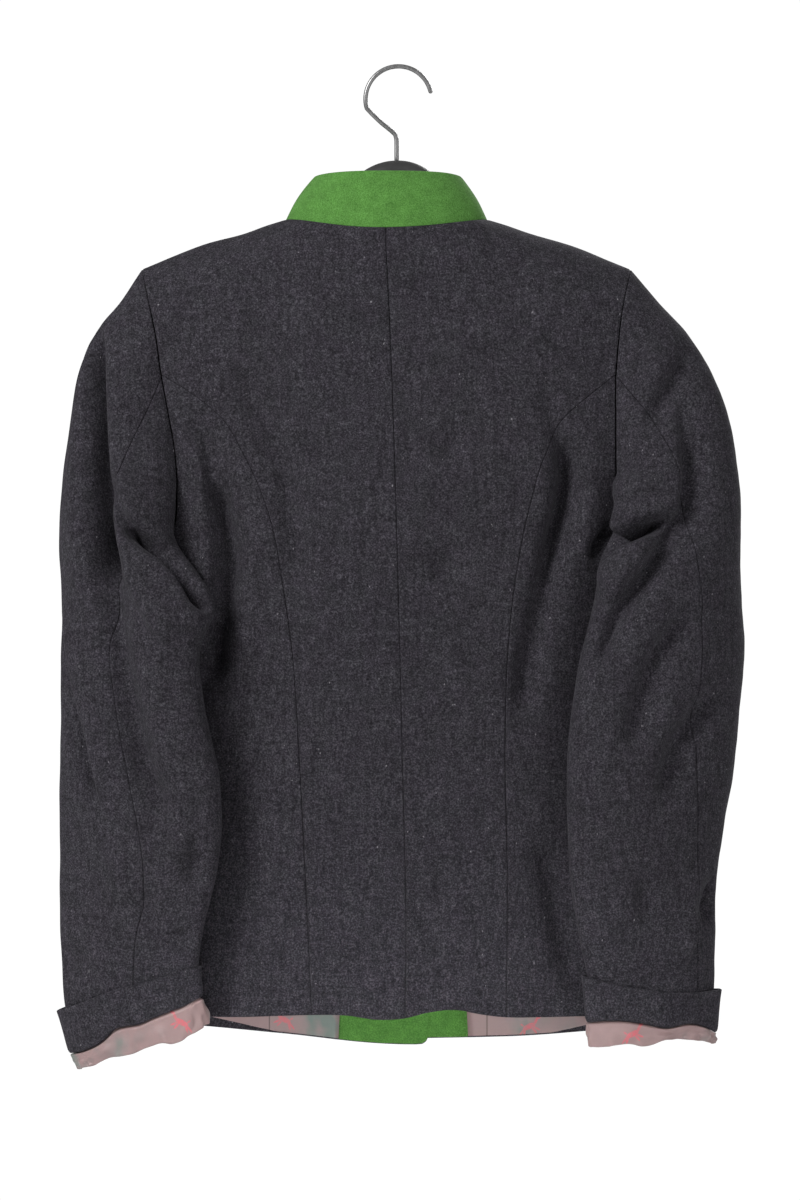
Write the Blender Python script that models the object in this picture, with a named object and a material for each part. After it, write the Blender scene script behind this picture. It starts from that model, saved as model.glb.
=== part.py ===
"""A women's trachten jacket of grey wool flannel on a plain black hanger, built at real size.

The origin is under the arch of the hanger's hook. The back faces -Y, +X is the wearer's right
and +Z is up. Sizes in the tables are millimetres, and one function turns them into metres.
"""

import math

import bmesh
import bpy
import numpy as np

MM = 0.001
GAP = 0.3
WOOL = 2.0
FACING = 1.2
LINING = 1.0

# The body's levels
ROUND_START = -194.5
ROUND = 75.0
TOP = ROUND_START + ROUND
RISE_TOP = ROUND_START + ROUND * math.pi / 2
TILT_START = -230.0
UNDERARM = -386.0
APEX = -244.0
SQUARE = 0.2
ARMHOLE_OUT = 185.0
SHOULDER_CENTRE = -9.5
NECK_HALF = 79.5
NECK_DIP = 9.5
NECK_FULL = 0.93
NECK_SCOOP = 75.0
NECK_CURVE = 0.85
FRONT_EDGE_LINE = 3.5
OVERLAP = 20.0
LAP_GAP = 0.6
UNDERLAP_SET = WOOL + GAP + FACING + LAP_GAP
HEM_LEVEL = -746.0
HEM_BLEND = 150.0

# The sleeves
CAP_TOP = -200.0
CAP_END = -450.0
SLEEVE_END = -747.0
SHEAR = 0.35
CUFF_CLEAR = 0.9
CUFF_TALL = 29.0
UNDERARM_CLEAR = 1.6
TIP_CLEAR = 0.9
CLEAR_START = (-300, -330)
BODY_CLEAR = 3.6
LOW_CLEAR = 1.6
FOLD_FADE = (1.95, 1.7)
FACING_COLUMNS = {-1: 2, 1: 2}
CUFF_COLUMNS = 24
LINING_ROWS = (1.9, 1.95, 2.0, 2.057)


class Table:
    """Rows of sizes with named columns, read at any height along a smooth curve."""

    def __init__(self, columns, *rows):
        self.columns = columns
        self.rows = np.array(sorted(rows), float)

    def read(self, name, at):
        keys = self.rows[:, 0]
        values = self.rows[:, self.columns.index(name)]
        slopes = np.gradient(values, keys)
        at = np.clip(at, keys[0], keys[-1])
        i = np.clip(np.searchsorted(keys, at) - 1, 0, len(keys) - 2)
        span = keys[i + 1] - keys[i]
        t = (at - keys[i]) / span
        low = (2 * t**3 - 3 * t**2 + 1) * values[i] + (t**3 - 2 * t**2 + t) * span * slopes[i]
        high = (3 * t**2 - 2 * t**3) * values[i + 1] + (t**3 - t**2) * span * slopes[i + 1]
        return low + high


BODY = Table(
    ("height", "centre", "half", "back", "front", "side"),
    (-119, -9.5, 232, -45, 50, 0),
    (-250, -7.5, 222, -47, 57, 4),
    (-330, -4.5, 206, -49, 62, 5),
    (-386, -3.0, 192, -49, 62, 5),
    (-530, 1.0, 177, -44, 54, 9),
    (-640, 3.0, 192, -45, 54, 11),
    (-780, 3.0, 212, -46, 54, 11),
)
SHOULDER = Table(
    ("out", "height"),
    (80, -119.5),
    (95, -124),
    (110, -129.5),
    (148, -141),
    (178, -153),
    (194, -159.5),
    (212, -167),
)
CENTRE_BACK = Table(
    ("height", "x"),
    (-129, -9.7),
    (-265, -4.4),
    (-420, 0.2),
    (-530, 2.8),
    (-700, 5.9),
    (-780, 4.3),
)
HEM = Table(
    ("degrees", "left", "right"),
    (0, -746, -746),
    (50, -746, -744),
    (75, -748, -747),
    (100, -756, -757),
    (133, -763, -766),
    (152, -769, -771),
    (180, -778, -774),
    (190, -778, -775),
)
# The x of the princess seams, from the armhole to the hem
PRINCESS = Table(
    ("height", "left", "right"),
    (-244, -186, 171),
    (-257, -165, 154),
    (-276, -141, 132),
    (-307, -121, 115),
    (-350, -102.5, 102),
    (-401, -91.6, 92),
    (-463, -83, 85.5),
    (-530, -78.4, 83.5),
    (-640, -72.5, 85.3),
    (-780, -66, 83.5),
)
PRINCESS_GAP = GAP / 2 / 60.0
SIDE_GAP = 0.004
# How far the armhole lies from the body's centre line, on the back and on the front
ARMHOLE = Table(
    ("height", "back_left", "back_right", "front"),
    (-158, 193, 193, 193),
    (-180, 188.5, 187.5, 181),
    (-213, 182, 181.5, 170),
    (-243, 178.5, 178.5, 164),
    (-275, 173.5, 177, 160),
    (-310, 169.5, 176, 158.5),
    (-340, 169.5, 176, 162),
    (-365, 174, 177.5, 172),
    (-386, 192, 192, 192),
)
# Sleeve sections: outer and inner edges across, the middle, and the depths near the camera and far
LEFT_SLEEVE = Table(
    ("height", "outer", "inner", "middle", "near", "far", "tilt", "elbow"),
    (-159, -203, -178, -10, 34, 30, 0, 90),
    (-185, -220, -178, -16, 35, 30, 0, 88),
    (-210, -240, -178, -22, 36, 30, 0, 86),
    (-240, -252, -178, -28, 37, 30, 0, 82),
    (-280, -258, -176, -31, 37, 29, 0, 76),
    (-330, -265, -175, -32, 37, 28, 0, 72),
    (-374, -267, -176, -32, 36, 27, 0, 71),
    (-400, -266.5, -157, -32, 36, 27, 0, 71),
    (-425, -266, -143, -32, 36, 26, 0, 71),
    (-455, -266, -154, -33, 35, 25, 0, 71),
    (-500, -266, -151, -34, 34, 24, 0, 76),
    (-566, -267, -138, -35, 32, 22, 0.02, 84),
    (-600, -267, -137, -36, 29, 21, 0.08, 90),
    (-645, -266.5, -142, -37, 25, 19, 0.16, 96),
    (-690, -265, -151, -38, 20, 16, 0.26, 93),
    (-722, -263, -155, -38, 16, 14, 0.31, 93),
    (-752, -254, -155, -38, 14, 13, 0.40, 93),
)
RIGHT_SLEEVE = Table(
    ("height", "outer", "inner", "middle", "near", "far", "tilt", "elbow"),
    (-158, 184, 165, -10, 34, 30, 0, 90),
    (-185, 207, 165, -16, 35, 30, 0, 88),
    (-210, 229, 165, -22, 36, 30, 0, 84),
    (-240, 247, 166, -28, 37, 30, 0, 78),
    (-280, 262, 168, -31, 37, 29, 0, 72),
    (-330, 269, 169, -32, 37, 28, 0, 68),
    (-365, 270, 160, -32, 36, 27, 0, 66),
    (-390, 270, 154, -32, 36, 27, 0, 65),
    (-425, 271, 151, -32, 36, 26, 0, 64),
    (-470, 272.5, 140, -33, 35, 25, 0, 63),
    (-500, 270, 135, -34, 34, 24, 0, 62),
    (-550, 265, 131, -35, 32, 23, 0, 58),
    (-600, 256, 131, -36, 29, 21, -0.02, 50),
    (-645, 250, 134, -37, 25, 19, -0.05, 44),
    (-690, 249, 141, -38, 20, 16, -0.09, 44),
    (-722, 248, 147, -38, 16, 14, -0.11, 44),
    (-752, 246, 148, -38, 14, 13, -0.09, 44),
)
SLEEVES = {-1: LEFT_SLEEVE, 1: RIGHT_SLEEVE}
SIDES = {-1: "left", 1: "right"}
FRONT_SEAM = 203.0
UNDER_TURN = math.radians(225.0)

# Folds: how far the cloth moves out (minus: in), the fold's half width, and its route as x, z
BODY_FOLDS = (
    (-7, 12, ((-150, -323), (-142, -350), (-138, -386), (-135, -418), (-142, -451))),
    (-7, 12, ((111, -261), (127, -307), (128, -337), (122, -369), (113, -418), (96, -484))),
    (-3, 13, ((-138, -251), (-116, -277), (-96, -310), (-86, -350), (-77, -418))),
    (-2.5, 14, ((47, -369), (28, -418))),
    (-4, 14, ((106, -598), (122, -641), (132, -697), (142, -730))),
    (-2.5, 10, ((7, -631), (21, -670), (31, -697))),
)
SLEEVE_FOLDS = {
    -1: (
        (-6, 10, ((-242, -222), (-240, -271), (-235, -336), (-239, -375))),
        (-7, 12, ((-230, -451), (-221, -484), (-214, -517), (-201, -549), (-181, -588))),
        (5, 12, ((-214, -298), (-228, -330), (-222, -363), (-205, -421), (-178, -461))),
    ),
    1: (
        (-4, 12, ((227, -225), (211, -248), (198, -271), (178, -280))),
        (-7, 9, ((165, -363), (184, -363), (204, -358), (214, -366))),
        (-7, 10, ((211, -366), (195, -386), (175, -405), (162, -428), (150, -454))),
        (-5, 12, ((180, -549), (188, -500), (204, -461), (235, -421))),
        (-5, 12, ((204, -588), (217, -533), (244, -500), (263, -487))),
        (-5, 12, ((246, -630), (241, -655), (236, -676))),
    ),
}

# Hanger and hook
COLLAR_GAP = 0.8
WIRE = 1.8
HANGER_CLEAR = 0.9
HOOK_RADIUS = 26.1
HOOK_CENTRE = (0.0, -24.3)
HOOK_ARC = (14.0, 196.0)
HOOK_STEM = ((-21.0, -35.8), (-14.0, -42.6), (-7.0, -48.2), (-2.6, -52.0), (-1.5, -56.0), (-1.5, -72.0))
HANGER_TOP = Table(
    ("x", "height"),
    (-96, -127.6),
    (-80, -124.0),
    (-60, -110.0),
    (-40, -91.5),
    (-25, -79.4),
    (-12, -74.0),
    (-1, -72.7),
    (10, -74.0),
    (23, -80.0),
    (38, -94),
    (50, -107.5),
    (60, -118.5),
    (68, -124.6),
    (80, -126.0),
)
HANGER_ENDS = (-182.0, 166.0)
HANGER_NECK = (-96.0, 80.0)

BUTTONS = 6
BUTTON_RADIUS = 8.5
BUTTON_THICK = 3.2
BUTTON_TOP = -222.0
BUTTON_STEP = 78.0
BUTTON_CLEAR = 0.7
BUTTON_SIDES = 14
# Each ring's share of the thickness and of the radius
BUTTON_RINGS = ((0.0, 0.93), (0.35, 1.0), (0.65, 0.97), (1.0, 0.66))

COLOURS = {
    "wool": ((0.042, 0.040, 0.048), 0.95),
    "felt": ((0.075, 0.21, 0.035), 0.95),
    "lining": ((0.32, 0.22, 0.22), 0.5),
    "hanger": ((0.02, 0.02, 0.022), 0.4),
    "hook": ((0.015, 0.015, 0.016), 0.35),
    "button": ((0.05, 0.045, 0.045), 0.4),
}


def smooth(low, high, at):
    t = np.clip((at - low) / (high - low), 0, 1)
    return t * t * (3 - 2 * t)


def radians(degrees):
    return np.asarray(degrees, float) * math.pi / 180


def unit(vectors):
    return vectors / np.maximum(np.linalg.norm(vectors, axis=-1, keepdims=True), 1e-12)


def neck_drop(across, back):
    """How far the shoulder lies under the neck point, or the back neck under it."""
    out = np.abs(across)
    slope = SHOULDER.read("height", np.maximum(out, NECK_HALF)) - TOP
    dip = -NECK_DIP * np.clip(1 - (out / NECK_HALF) ** 2, 0, 1)
    return np.where(out < NECK_HALF, np.where(back, dip, 0), slope)


def body_point(angle, rise):
    """The jacket's outer face: angle 0 is the centre back and plus is the wearer's right.

    rise is the height, and above ROUND_START the way measured over the shoulder's round.
    """
    angle, rise = np.broadcast_arrays(np.asarray(angle, float), np.asarray(rise, float))
    turn = np.maximum(rise - ROUND_START, 0) / ROUND
    level = np.where(rise < ROUND_START, rise, ROUND_START + ROUND * np.sin(turn))
    full = np.cos(turn)
    across = BODY.read("half", level) * np.sin(angle)
    side = BODY.read("side", level)
    back = np.cos(angle) > 0
    deep = np.where(back, side - BODY.read("back", level), BODY.read("front", level) - side)
    y = side - deep * np.cos(angle) * (1 + SQUARE * np.sin(angle) ** 2)
    neck = NECK_FULL * np.sqrt(np.clip(1 - (across / NECK_HALF) ** 2, 0, 1))
    full = np.where(back, neck + (1 - neck) * full, full)
    z = level + neck_drop(across, back) * smooth(TILT_START, TOP, level)
    return np.stack([BODY.read("centre", level) + across, y * full, z], -1)


def fold_height(folds, x, z):
    """The cloth's move out of its smooth face, from soft ridges and troughs along the folds."""
    move = np.zeros(np.shape(x))
    for amount, width, route in folds:
        nearest = np.full(np.shape(x), 1e9)
        for (x0, z0), (x1, z1) in zip(route, route[1:]):
            long = math.hypot(x1 - x0, z1 - z0)
            t = np.clip(((x - x0) * (x1 - x0) + (z - z0) * (z1 - z0)) / long**2, 0, 1)
            nearest = np.minimum(nearest, np.hypot(x - x0 - t * (x1 - x0), z - z0 - t * (z1 - z0)))
        move = move + amount * np.exp(-((nearest / width) ** 2))
    return move


def normals(face, u, v, du, dv):
    """Unit normals of a face given as a function of two numbers, by small steps each way."""
    across = face(u + du, v) - face(u - du, v)
    up = face(u, v + dv) - face(u, v - dv)
    return unit(np.cross(across, up))


def body_face(angle, rise):
    """Points of the jacket's outer face and its outward normals, with its folds."""
    points = body_point(angle, rise)
    out = normals(body_point, angle, rise, 0.004, 0.6)
    back = np.clip(np.cos(angle) * 4, 0, 1)
    return points, out, fold_height(BODY_FOLDS, points[..., 0], points[..., 2]) * back


def angle_at(across, rise, front=False):
    """The angle where the body's face is that far across from its centre line."""
    level = np.where(rise < ROUND_START, rise, ROUND_START + ROUND * np.sin((rise - ROUND_START) / ROUND))
    ratio = np.clip(across / BODY.read("half", level), -1, 1)
    angle = np.arcsin(ratio)
    return np.where(front, np.sign(across) * math.pi - angle, angle)


def level_of(rise):
    turn = np.maximum(rise - ROUND_START, 0) / ROUND
    return np.where(rise < ROUND_START, rise, ROUND_START + ROUND * np.sin(turn))


def armhole_angle(side, rise, front):
    """Where the armhole crosses a level, as an angle on the body's face."""
    level = level_of(rise)
    height = level + neck_drop(ARMHOLE_OUT, True) * smooth(TILT_START, TOP, level)
    column = "front" if front else "back_" + SIDES[side]
    return angle_at(side * ARMHOLE.read(column, height), rise, front)


def hem_shift(angle, rise, side):
    """How far a row near the hem moves down, so that the last one follows the hem."""
    turned = np.abs(angle) * 180 / math.pi
    drop = HEM.read(SIDES[side], turned) - HEM_LEVEL
    return drop * smooth(HEM_LEVEL + HEM_BLEND, HEM_LEVEL, rise)


def material(name):
    made = bpy.data.materials.get(name) or bpy.data.materials.new(name)
    made.use_nodes = True
    colour, rough = COLOURS[name.split(".")[0]]
    surface = made.node_tree.nodes["Principled BSDF"]
    surface.inputs["Base Color"].default_value = (*colour, 1)
    surface.inputs["Roughness"].default_value = rough
    surface.inputs["Metallic"].default_value = 0.0
    made.diffuse_color = (*colour, 1)
    return made


def add_solid(name, points, faces, finish):
    mesh = bpy.data.meshes.new(name)
    mesh.from_pydata([tuple(p * MM) for p in points], [], faces)
    shape = bmesh.new()
    shape.from_mesh(mesh)
    bmesh.ops.recalc_face_normals(shape, faces=shape.faces)
    shape.to_mesh(mesh)
    shape.free()
    made = bpy.data.objects.new(name, mesh)
    made.data.materials.append(material(finish + "." + name))
    bpy.context.collection.objects.link(made)
    return made


def split_quad(points, quad):
    """Two triangles along the quad's shorter diagonal, so both faces of a wall bend alike."""
    a, b, c, d = quad
    if np.linalg.norm(points[a] - points[c]) <= np.linalg.norm(points[b] - points[d]):
        return (a, b, c), (a, c, d)
    return (a, b, d), (b, c, d)


def add_wall(name, outer, inner, finish, round_about=False):
    """A closed cloth wall between two grids of points, open or closed into a tube."""
    rows, columns = outer.shape[:2]
    count = rows * columns
    points = np.concatenate([outer.reshape(-1, 3), inner.reshape(-1, 3)])
    faces = []
    last = columns if round_about else columns - 1
    for r in range(rows - 1):
        for c in range(last):
            d = (c + 1) % columns
            quad = (r * columns + c, r * columns + d, (r + 1) * columns + d, (r + 1) * columns + c)
            for corner in split_quad(points, quad):
                faces.append(corner)
                faces.append(tuple(count + i for i in reversed(corner)))
    for r in (0, rows - 1):
        for c in range(last):
            d = (c + 1) % columns
            edge = (r * columns + c, r * columns + d)
            rim = (edge[0], count + edge[0], count + edge[1], edge[1])
            faces.append(rim if r == 0 else tuple(reversed(rim)))
    if not round_about:
        for c in (0, columns - 1):
            for r in range(rows - 1):
                edge = (r * columns + c, (r + 1) * columns + c)
                rim = (edge[0], edge[1], count + edge[1], count + edge[0])
                faces.append(rim if c == 0 else tuple(reversed(rim)))
    return add_solid(name, points, faces, finish)


def body_wall(name, angles, rises, finish, start=0.0, thick=WOOL, set_in=None):
    """A panel of the body, start under the outer face and thick, from grids of angle and rise."""
    points, out, fold = body_face(angles, rises)
    depth = fold - start
    if set_in is not None:
        depth = depth - set_in
    outer = points + out * depth[..., None]
    inner = points + out * (depth - thick)[..., None]
    add_wall(name, outer, inner, finish)
    return outer, out


TOP_COLUMNS = (0.0, 22.0, 42.0, 58.0, 71.0, NECK_HALF, 108.0, 138.0, 168.0)
FRONT_COLUMNS = {
    -1: (19.0, 40.0, 58.0, 70.0, 76.5, NECK_HALF, 108.0, 138.0, 168.0),
    1: (40.0, 63.0, 70.0, 76.5, NECK_HALF, 108.0, 138.0, 168.0),
}
LOW_RISES = (HEM_LEVEL, -720, -688, -652, -614, -576, -538, -500, -464, -436, -408)
ARM_RISES = (UNDERARM, -384.6, -380, -372, -358, -338, -318, -298, -281, -266, -255, -248, APEX)
HIGH_RISES = (-230, -210, -188, -164, -140, -117, -97, RISE_TOP - GAP / 2)


def rows_by_columns(rises, columns):
    return np.repeat(np.array(rises, float)[:, None], columns, 1)


def seam_gap(rise):
    """Half the centre back seam's gap, as an angle."""
    return GAP / 2 / BODY.read("half", level_of(rise))


def build_backs():
    """The back panels, and their edges along the armhole and along the neck."""
    rises = np.array(LOW_RISES + ARM_RISES + HIGH_RISES, float)
    edges = {}
    necks = {}
    for side in (-1, 1):
        seam = CENTRE_BACK.read("x", rises) - BODY.read("centre", level_of(rises))
        first = angle_at(seam, rises) + side * seam_gap(rises)
        line = PRINCESS.read(SIDES[side], rises) - BODY.read("centre", level_of(rises))
        princess = angle_at(line, rises) - side * PRINCESS_GAP
        arm = armhole_angle(side, rises, False)
        last = np.where(rises <= APEX, princess, arm)
        wanted = angle_at(side * np.array(TOP_COLUMNS), rises[-1])
        shares = (wanted - first[-1]) / (last[-1] - first[-1])
        shares[0] = 0.0
        shares = np.append(shares, 1.0)
        angles = first[:, None] + (last - first)[:, None] * shares[None, :]
        grid = rows_by_columns(rises, len(shares))
        grid = grid + hem_shift(angles, grid, side)
        outer, out = body_wall("back_" + SIDES[side], angles, grid, "wool")
        top = rises >= APEX
        edges[side] = (outer[top, -1], out[top, -1])
        necks[side] = outer[-1, : TOP_COLUMNS.index(NECK_HALF) + 1]
    return edges, necks


def build_side_backs():
    edges = {}
    for side in (-1, 1):
        rises = np.array(LOW_RISES + ARM_RISES[:-1], float)
        shares = np.linspace(0, 1, 6)
        line = PRINCESS.read(SIDES[side], rises) - BODY.read("centre", level_of(rises))
        first = angle_at(line, rises) + side * PRINCESS_GAP
        seam = side * (math.pi / 2 - SIDE_GAP) * np.ones(len(rises))
        last = np.where(rises <= UNDERARM, seam, armhole_angle(side, rises, False))
        angles = first[:, None] + (last - first)[:, None] * shares[None, :]
        grid = rows_by_columns(rises, len(shares))
        grid = grid + hem_shift(angles, grid, side)
        outer, out = body_wall("side_back_" + SIDES[side], angles, grid, "wool")
        arm = rises >= UNDERARM
        edges[side] = (outer[arm, -1], out[arm, -1])
    return edges


def front_top(across):
    """The neckline's level on the front, scooped to the centre."""
    share = np.clip(1 - (across / NECK_HALF) ** 2, 0, 1)
    level = TOP - NECK_SCOOP * share**NECK_CURVE
    ratio = np.clip((level - ROUND_START) / ROUND, -1, 1)
    return np.where(level < ROUND_START, level, ROUND_START + ROUND * np.arcsin(ratio))


def set_under(side, across):
    """How far the underlapping left front lies inside the right one."""
    if side > 0:
        return np.zeros(np.shape(across))
    return UNDERLAP_SET * smooth(-80.0, -26.0, across)


def front_edge(side):
    """How far across the closing edge lies, past the centre front."""
    return FRONT_EDGE_LINE - side * OVERLAP


def build_fronts():
    """The fronts with the facing and lining on their insides, made from the same points."""
    edges = {}
    necks = {}
    rises = np.array(LOW_RISES + ARM_RISES + HIGH_RISES, float)
    for side in (-1, 1):
        name = SIDES[side]
        seam = side * (math.pi / 2 + SIDE_GAP) * np.ones(len(rises))
        last = np.where(rises <= UNDERARM, seam, armhole_angle(side, rises, True))
        lines = np.array((front_edge(side) - SHOULDER_CENTRE, FRONT_EDGE_LINE - SHOULDER_CENTRE + side * 3.0))
        lines = np.append(lines, side * np.array(FRONT_COLUMNS[side]))
        reach = np.where(np.abs(lines) < NECK_HALF, front_top(lines), rises[-1])
        start = front_angle(side, lines[0] + SHOULDER_CENTRE, reach)
        wanted = front_angle(side, lines + SHOULDER_CENTRE, reach)
        shares = np.append((wanted - start) / (last[-1] - start), 1.0)
        shares[0] = 0.0
        reach = np.append(reach, rises[-1])
        share_up = (rises - HEM_LEVEL) / (rises[-1] - HEM_LEVEL)
        grid = HEM_LEVEL + (reach - HEM_LEVEL)[None, :] * share_up[:, None]
        first = front_angle(side, front_edge(side), grid[:, 0])
        angles = first[:, None] + (last - first)[:, None] * shares[None, :]
        grid = grid + hem_shift(angles, grid, side)
        across = body_point(angles, grid)[..., 0]
        outer, out = body_wall("front_" + name, angles, grid, "wool", set_in=set_under(side, across))
        arm = rises >= UNDERARM
        edges[side] = (outer[arm, -1], out[arm, -1])
        neck = FRONT_COLUMNS[side].index(NECK_HALF) + 2
        necks[side] = outer[-1, 1 : neck + 1]
        build_front_insides(side, angles, grid, across)
    return edges, necks


def front_angle(side, x, rise):
    """The angle of a place on the front, running on past the centre for the closing edge."""
    angle = angle_at(x - BODY.read("centre", level_of(rise)), rise, True)
    return np.where(side * angle < 0, angle + side * 2 * math.pi, angle)


def build_front_insides(side, angles, grid, across):
    """The green facing along the closing edge, and the lining beside it up to the underarm."""
    name = SIDES[side]
    under = FACING_COLUMNS[side]
    turn = angles[:, : under + 1].copy()
    turn[:, 0] = turn[:, 0] - side * 0.003
    turn[:, -1] = turn[:, -1] + side * 0.001
    rise = grid[:, : under + 1].copy()
    rise[0] = rise[0] + 0.8
    rise[-1] = rise[-1] - 1.0
    deep = set_under(side, across[:, : under + 1])
    body_wall("facing_" + name, turn, rise, "felt", start=WOOL + GAP, thick=FACING, set_in=deep)
    rows = len(LOW_RISES)
    turn = angles[:rows, under:].copy()
    turn[:, 0] = turn[:, 0] - side * 0.001
    turn[:, -1] = turn[:, -1] + side * 0.01
    rise = grid[:rows, under:].copy()
    rise[0] = rise[0] + 1.2 + 11 * smooth(98.0, 160.0, np.abs(across[0, under:]))
    deep = set_under(side, across[:rows, under:])
    body_wall("front_lining_" + name, turn, rise, "lining", start=WOOL + GAP, thick=LINING, set_in=deep)


def armhole_loop(backs, side_backs, fronts, side):
    """The armhole's edge from the shoulder tip down the back to the underarm and up the front.

    It gives the points, the body's normals there, and which point is the underarm.
    """
    joined = []
    for kind in (0, 1):
        down = (np.flip(backs[side][kind], 0), np.flip(side_backs[side][kind], 0))
        joined.append(np.concatenate(down + (fronts[side][kind][1:],)))
    underarm = len(backs[side][0]) + len(side_backs[side][0]) - 1
    return joined[0], joined[1], underarm


def sample_loop(points, out, under, columns):
    """Reads the armhole loop evenly: the back half to the underarm, then the front half."""
    ways = []
    for first, last in ((0, under), (under, len(points) - 1)):
        part = points[first : last + 1]
        steps = np.concatenate([[0], np.cumsum(np.linalg.norm(np.diff(part, axis=0), axis=1))])
        low, high = (0, UNDER_TURN) if first == 0 else (UNDER_TURN, 2 * math.pi)
        ways.append(low + steps / steps[-1] * (high - low))
    way = np.concatenate((ways[0], ways[1][1:]))
    angles = np.mod(columns, 2 * math.pi)
    loop = np.stack([np.interp(angles, way, points[:, k]) for k in range(3)], -1)
    body_out = unit(np.stack([np.interp(angles, way, out[:, k]) for k in range(3)], -1))
    return loop, body_out


def sleeve_ring(side, around, height, grow=0.0):
    """A point of the hanging sleeve: around is 0 at the outer edge and turns by the camera's side."""
    table = SLEEVES[side]
    outer = table.read("outer", height)
    inner = table.read("inner", height)
    half = np.abs(outer - inner) / 2 + grow
    middle = (outer + inner) / 2
    away = np.sin(around)
    deep = (np.where(away > 0, table.read("near", height), table.read("far", height)) + grow) * away
    out = half * np.cos(around)
    y = table.read("middle", height) + SHEAR * out - deep
    x = middle + side * out
    return np.stack([x, y, height + table.read("tilt", height) * side * out], -1)


def clear_body(points, clear, soft):
    """Moves points that lie in the body out to its face, with a smooth change."""
    x, y, z = points[..., 0], points[..., 1], points[..., 2]
    side = BODY.read("side", z)
    out = (x - BODY.read("centre", z)) / (BODY.read("half", z) + clear)
    deep = np.where(y < side, side - BODY.read("back", z), BODY.read("front", z) - side) + clear
    away = (y - side) / deep
    reach = np.hypot(out, away / (1 + SQUARE * np.clip(out, -1, 1) ** 2))
    wanted = 1 + soft * np.logaddexp(0, (reach - 1) / soft)
    scale = 1 + (wanted / np.maximum(reach, 0.2) - 1) * smooth(*CLEAR_START, z)
    across = BODY.read("centre", z) + out * scale * (BODY.read("half", z) + clear)
    return np.stack([across, side + away * scale * deep, z], -1)


class Sleeve:
    """A set-in sleeve: along runs from 0 at the armhole over 1 at the underarm to 2 at the end."""

    def __init__(self, side, loop):
        self.side = side
        self.points, self.out, self.under = loop

    def start(self, around):
        loop, out = sample_loop(self.points, self.out, self.under, around)
        after, _ = sample_loop(self.points, self.out, self.under, around + 0.05)
        before, _ = sample_loop(self.points, self.out, self.under, around - 0.05)
        into = unit(np.cross(after - before, out))
        middle = self.points.mean(axis=0)
        into = into * np.where(np.sum(into * (middle - loop), -1) < 0, -1.0, 1.0)[..., None]
        low = np.clip(np.cos(around - UNDER_TURN), 0, 1)[..., None]
        tip = np.clip(np.cos(around), 0, 1)[..., None] ** 12
        return loop + into * (GAP + 0.3 + TIP_CLEAR * tip) + out * (0.4 + UNDERARM_CLEAR * low), out, into

    def face(self, around, along):
        around, along = np.broadcast_arrays(around, along)
        begin, _, _ = self.start(around)
        t = np.clip(along, 0, 1)
        top = begin[..., 2]
        height = np.where(
            along < 1, top + (CAP_END - top) * t, CAP_END + (SLEEVE_END - CAP_END) * (along - 1)
        )
        ring = sleeve_ring(self.side, around, height)
        ease = np.where(along < 1, 1 - np.sin(t * math.pi / 2), 0)[..., None]
        points = ring + (begin - sleeve_ring(self.side, around, top)) * ease
        start = smooth(0.0, 0.16, along)
        low = np.clip(np.cos(around - UNDER_TURN), 0, 1) * smooth(1.3, 1.0, along)
        clear = LOW_CLEAR + (BODY_CLEAR - LOW_CLEAR) * smooth(1.3, 1.0, along)
        return clear_body(points, 0.4 + UNDERARM_CLEAR * low + clear * start, 0.0008 + 0.02 * start)

    def wall(self, around, along):
        """Outer points, outward normals and the fold's move."""
        points = self.face(around, along)
        out = normals(self.face, around, along, 0.09, 0.03) * self.side
        near = np.clip(np.sin(around) * 2.5, 0, 1) * smooth(0.0, 0.2, along) * smooth(*FOLD_FADE, along)
        fold = fold_height(SLEEVE_FOLDS[self.side], points[..., 0], points[..., 2]) * near
        return points, out, fold


SLEEVE_ROWS = (0, 0.035, 0.075, 0.12, 0.17, 0.23, 0.3, 0.4, 0.52, 0.65, 0.79, 0.92, 1, 1.08, 1.17, 1.27,
               1.37, 1.48, 1.6, 1.71, 1.81, 1.9, 1.95, 2.0)
UPPER_SHARES = (0, 0.035, 0.07, 0.105, 0.14, 0.18, 0.23, 0.29, 0.36, 0.43, 0.5, 0.57, 0.64, 0.71, 0.78,
                0.85, 0.925, 1)
UNDER_SHARES = (0, 0.1, 0.2, 0.3, 0.4, 0.5, 0.6, 0.7, 0.79, 0.87, 0.94, 1)


def seam_angles(side, heights):
    return radians(SLEEVES[side].read("elbow", heights))


def build_sleeve(side, loop):
    sleeve = Sleeve(side, loop)
    along = np.array(SLEEVE_ROWS)
    heights = np.interp(along, (0, 1, 2), (CAP_TOP, CAP_END, SLEEVE_END))
    elbow = seam_angles(side, heights)
    front = math.radians(FRONT_SEAM)
    half_gap = GAP / 2 / 48.0 * (1 + 2.0 * smooth(1.1, 0.8, along))
    columns = []
    for name, first, last, shares in (
        ("upper_sleeve_", front + half_gap - 2 * math.pi, elbow - half_gap, UPPER_SHARES),
        ("under_sleeve_", elbow + half_gap, front - half_gap, UNDER_SHARES),
    ):
        shares = np.array(shares)
        count = len(shares)
        first = first * np.ones(len(along))
        last = last * np.ones(len(along))
        around = first[:, None] + (last - first)[:, None] * shares[None, :]
        grid = np.repeat(along[:, None], count, 1)
        points, out, fold = sleeve.wall(around, grid)
        outer = points + out * fold[..., None]
        shift = -out * WOOL
        _, body_out, into = sleeve.start(around[0])
        against = np.sum(shift[0] * into, -1, keepdims=True)
        shift[0] = unit(shift[0] - np.minimum(against, 0) * into) * WOOL
        add_wall(name + SIDES[side], outer, outer + shift, "wool")
        columns.append(around[-1, 1:])
    return sleeve, np.concatenate(columns)


def tube_rings(side, heights, around, grow):
    """Rings of the sleeve's end, larger or smaller by so many millimetres."""
    grid = np.repeat(np.array(heights, float)[:, None], len(around), 1)
    return sleeve_ring(side, np.repeat(around[None, :], len(heights), 0), grid, grow)


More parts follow.
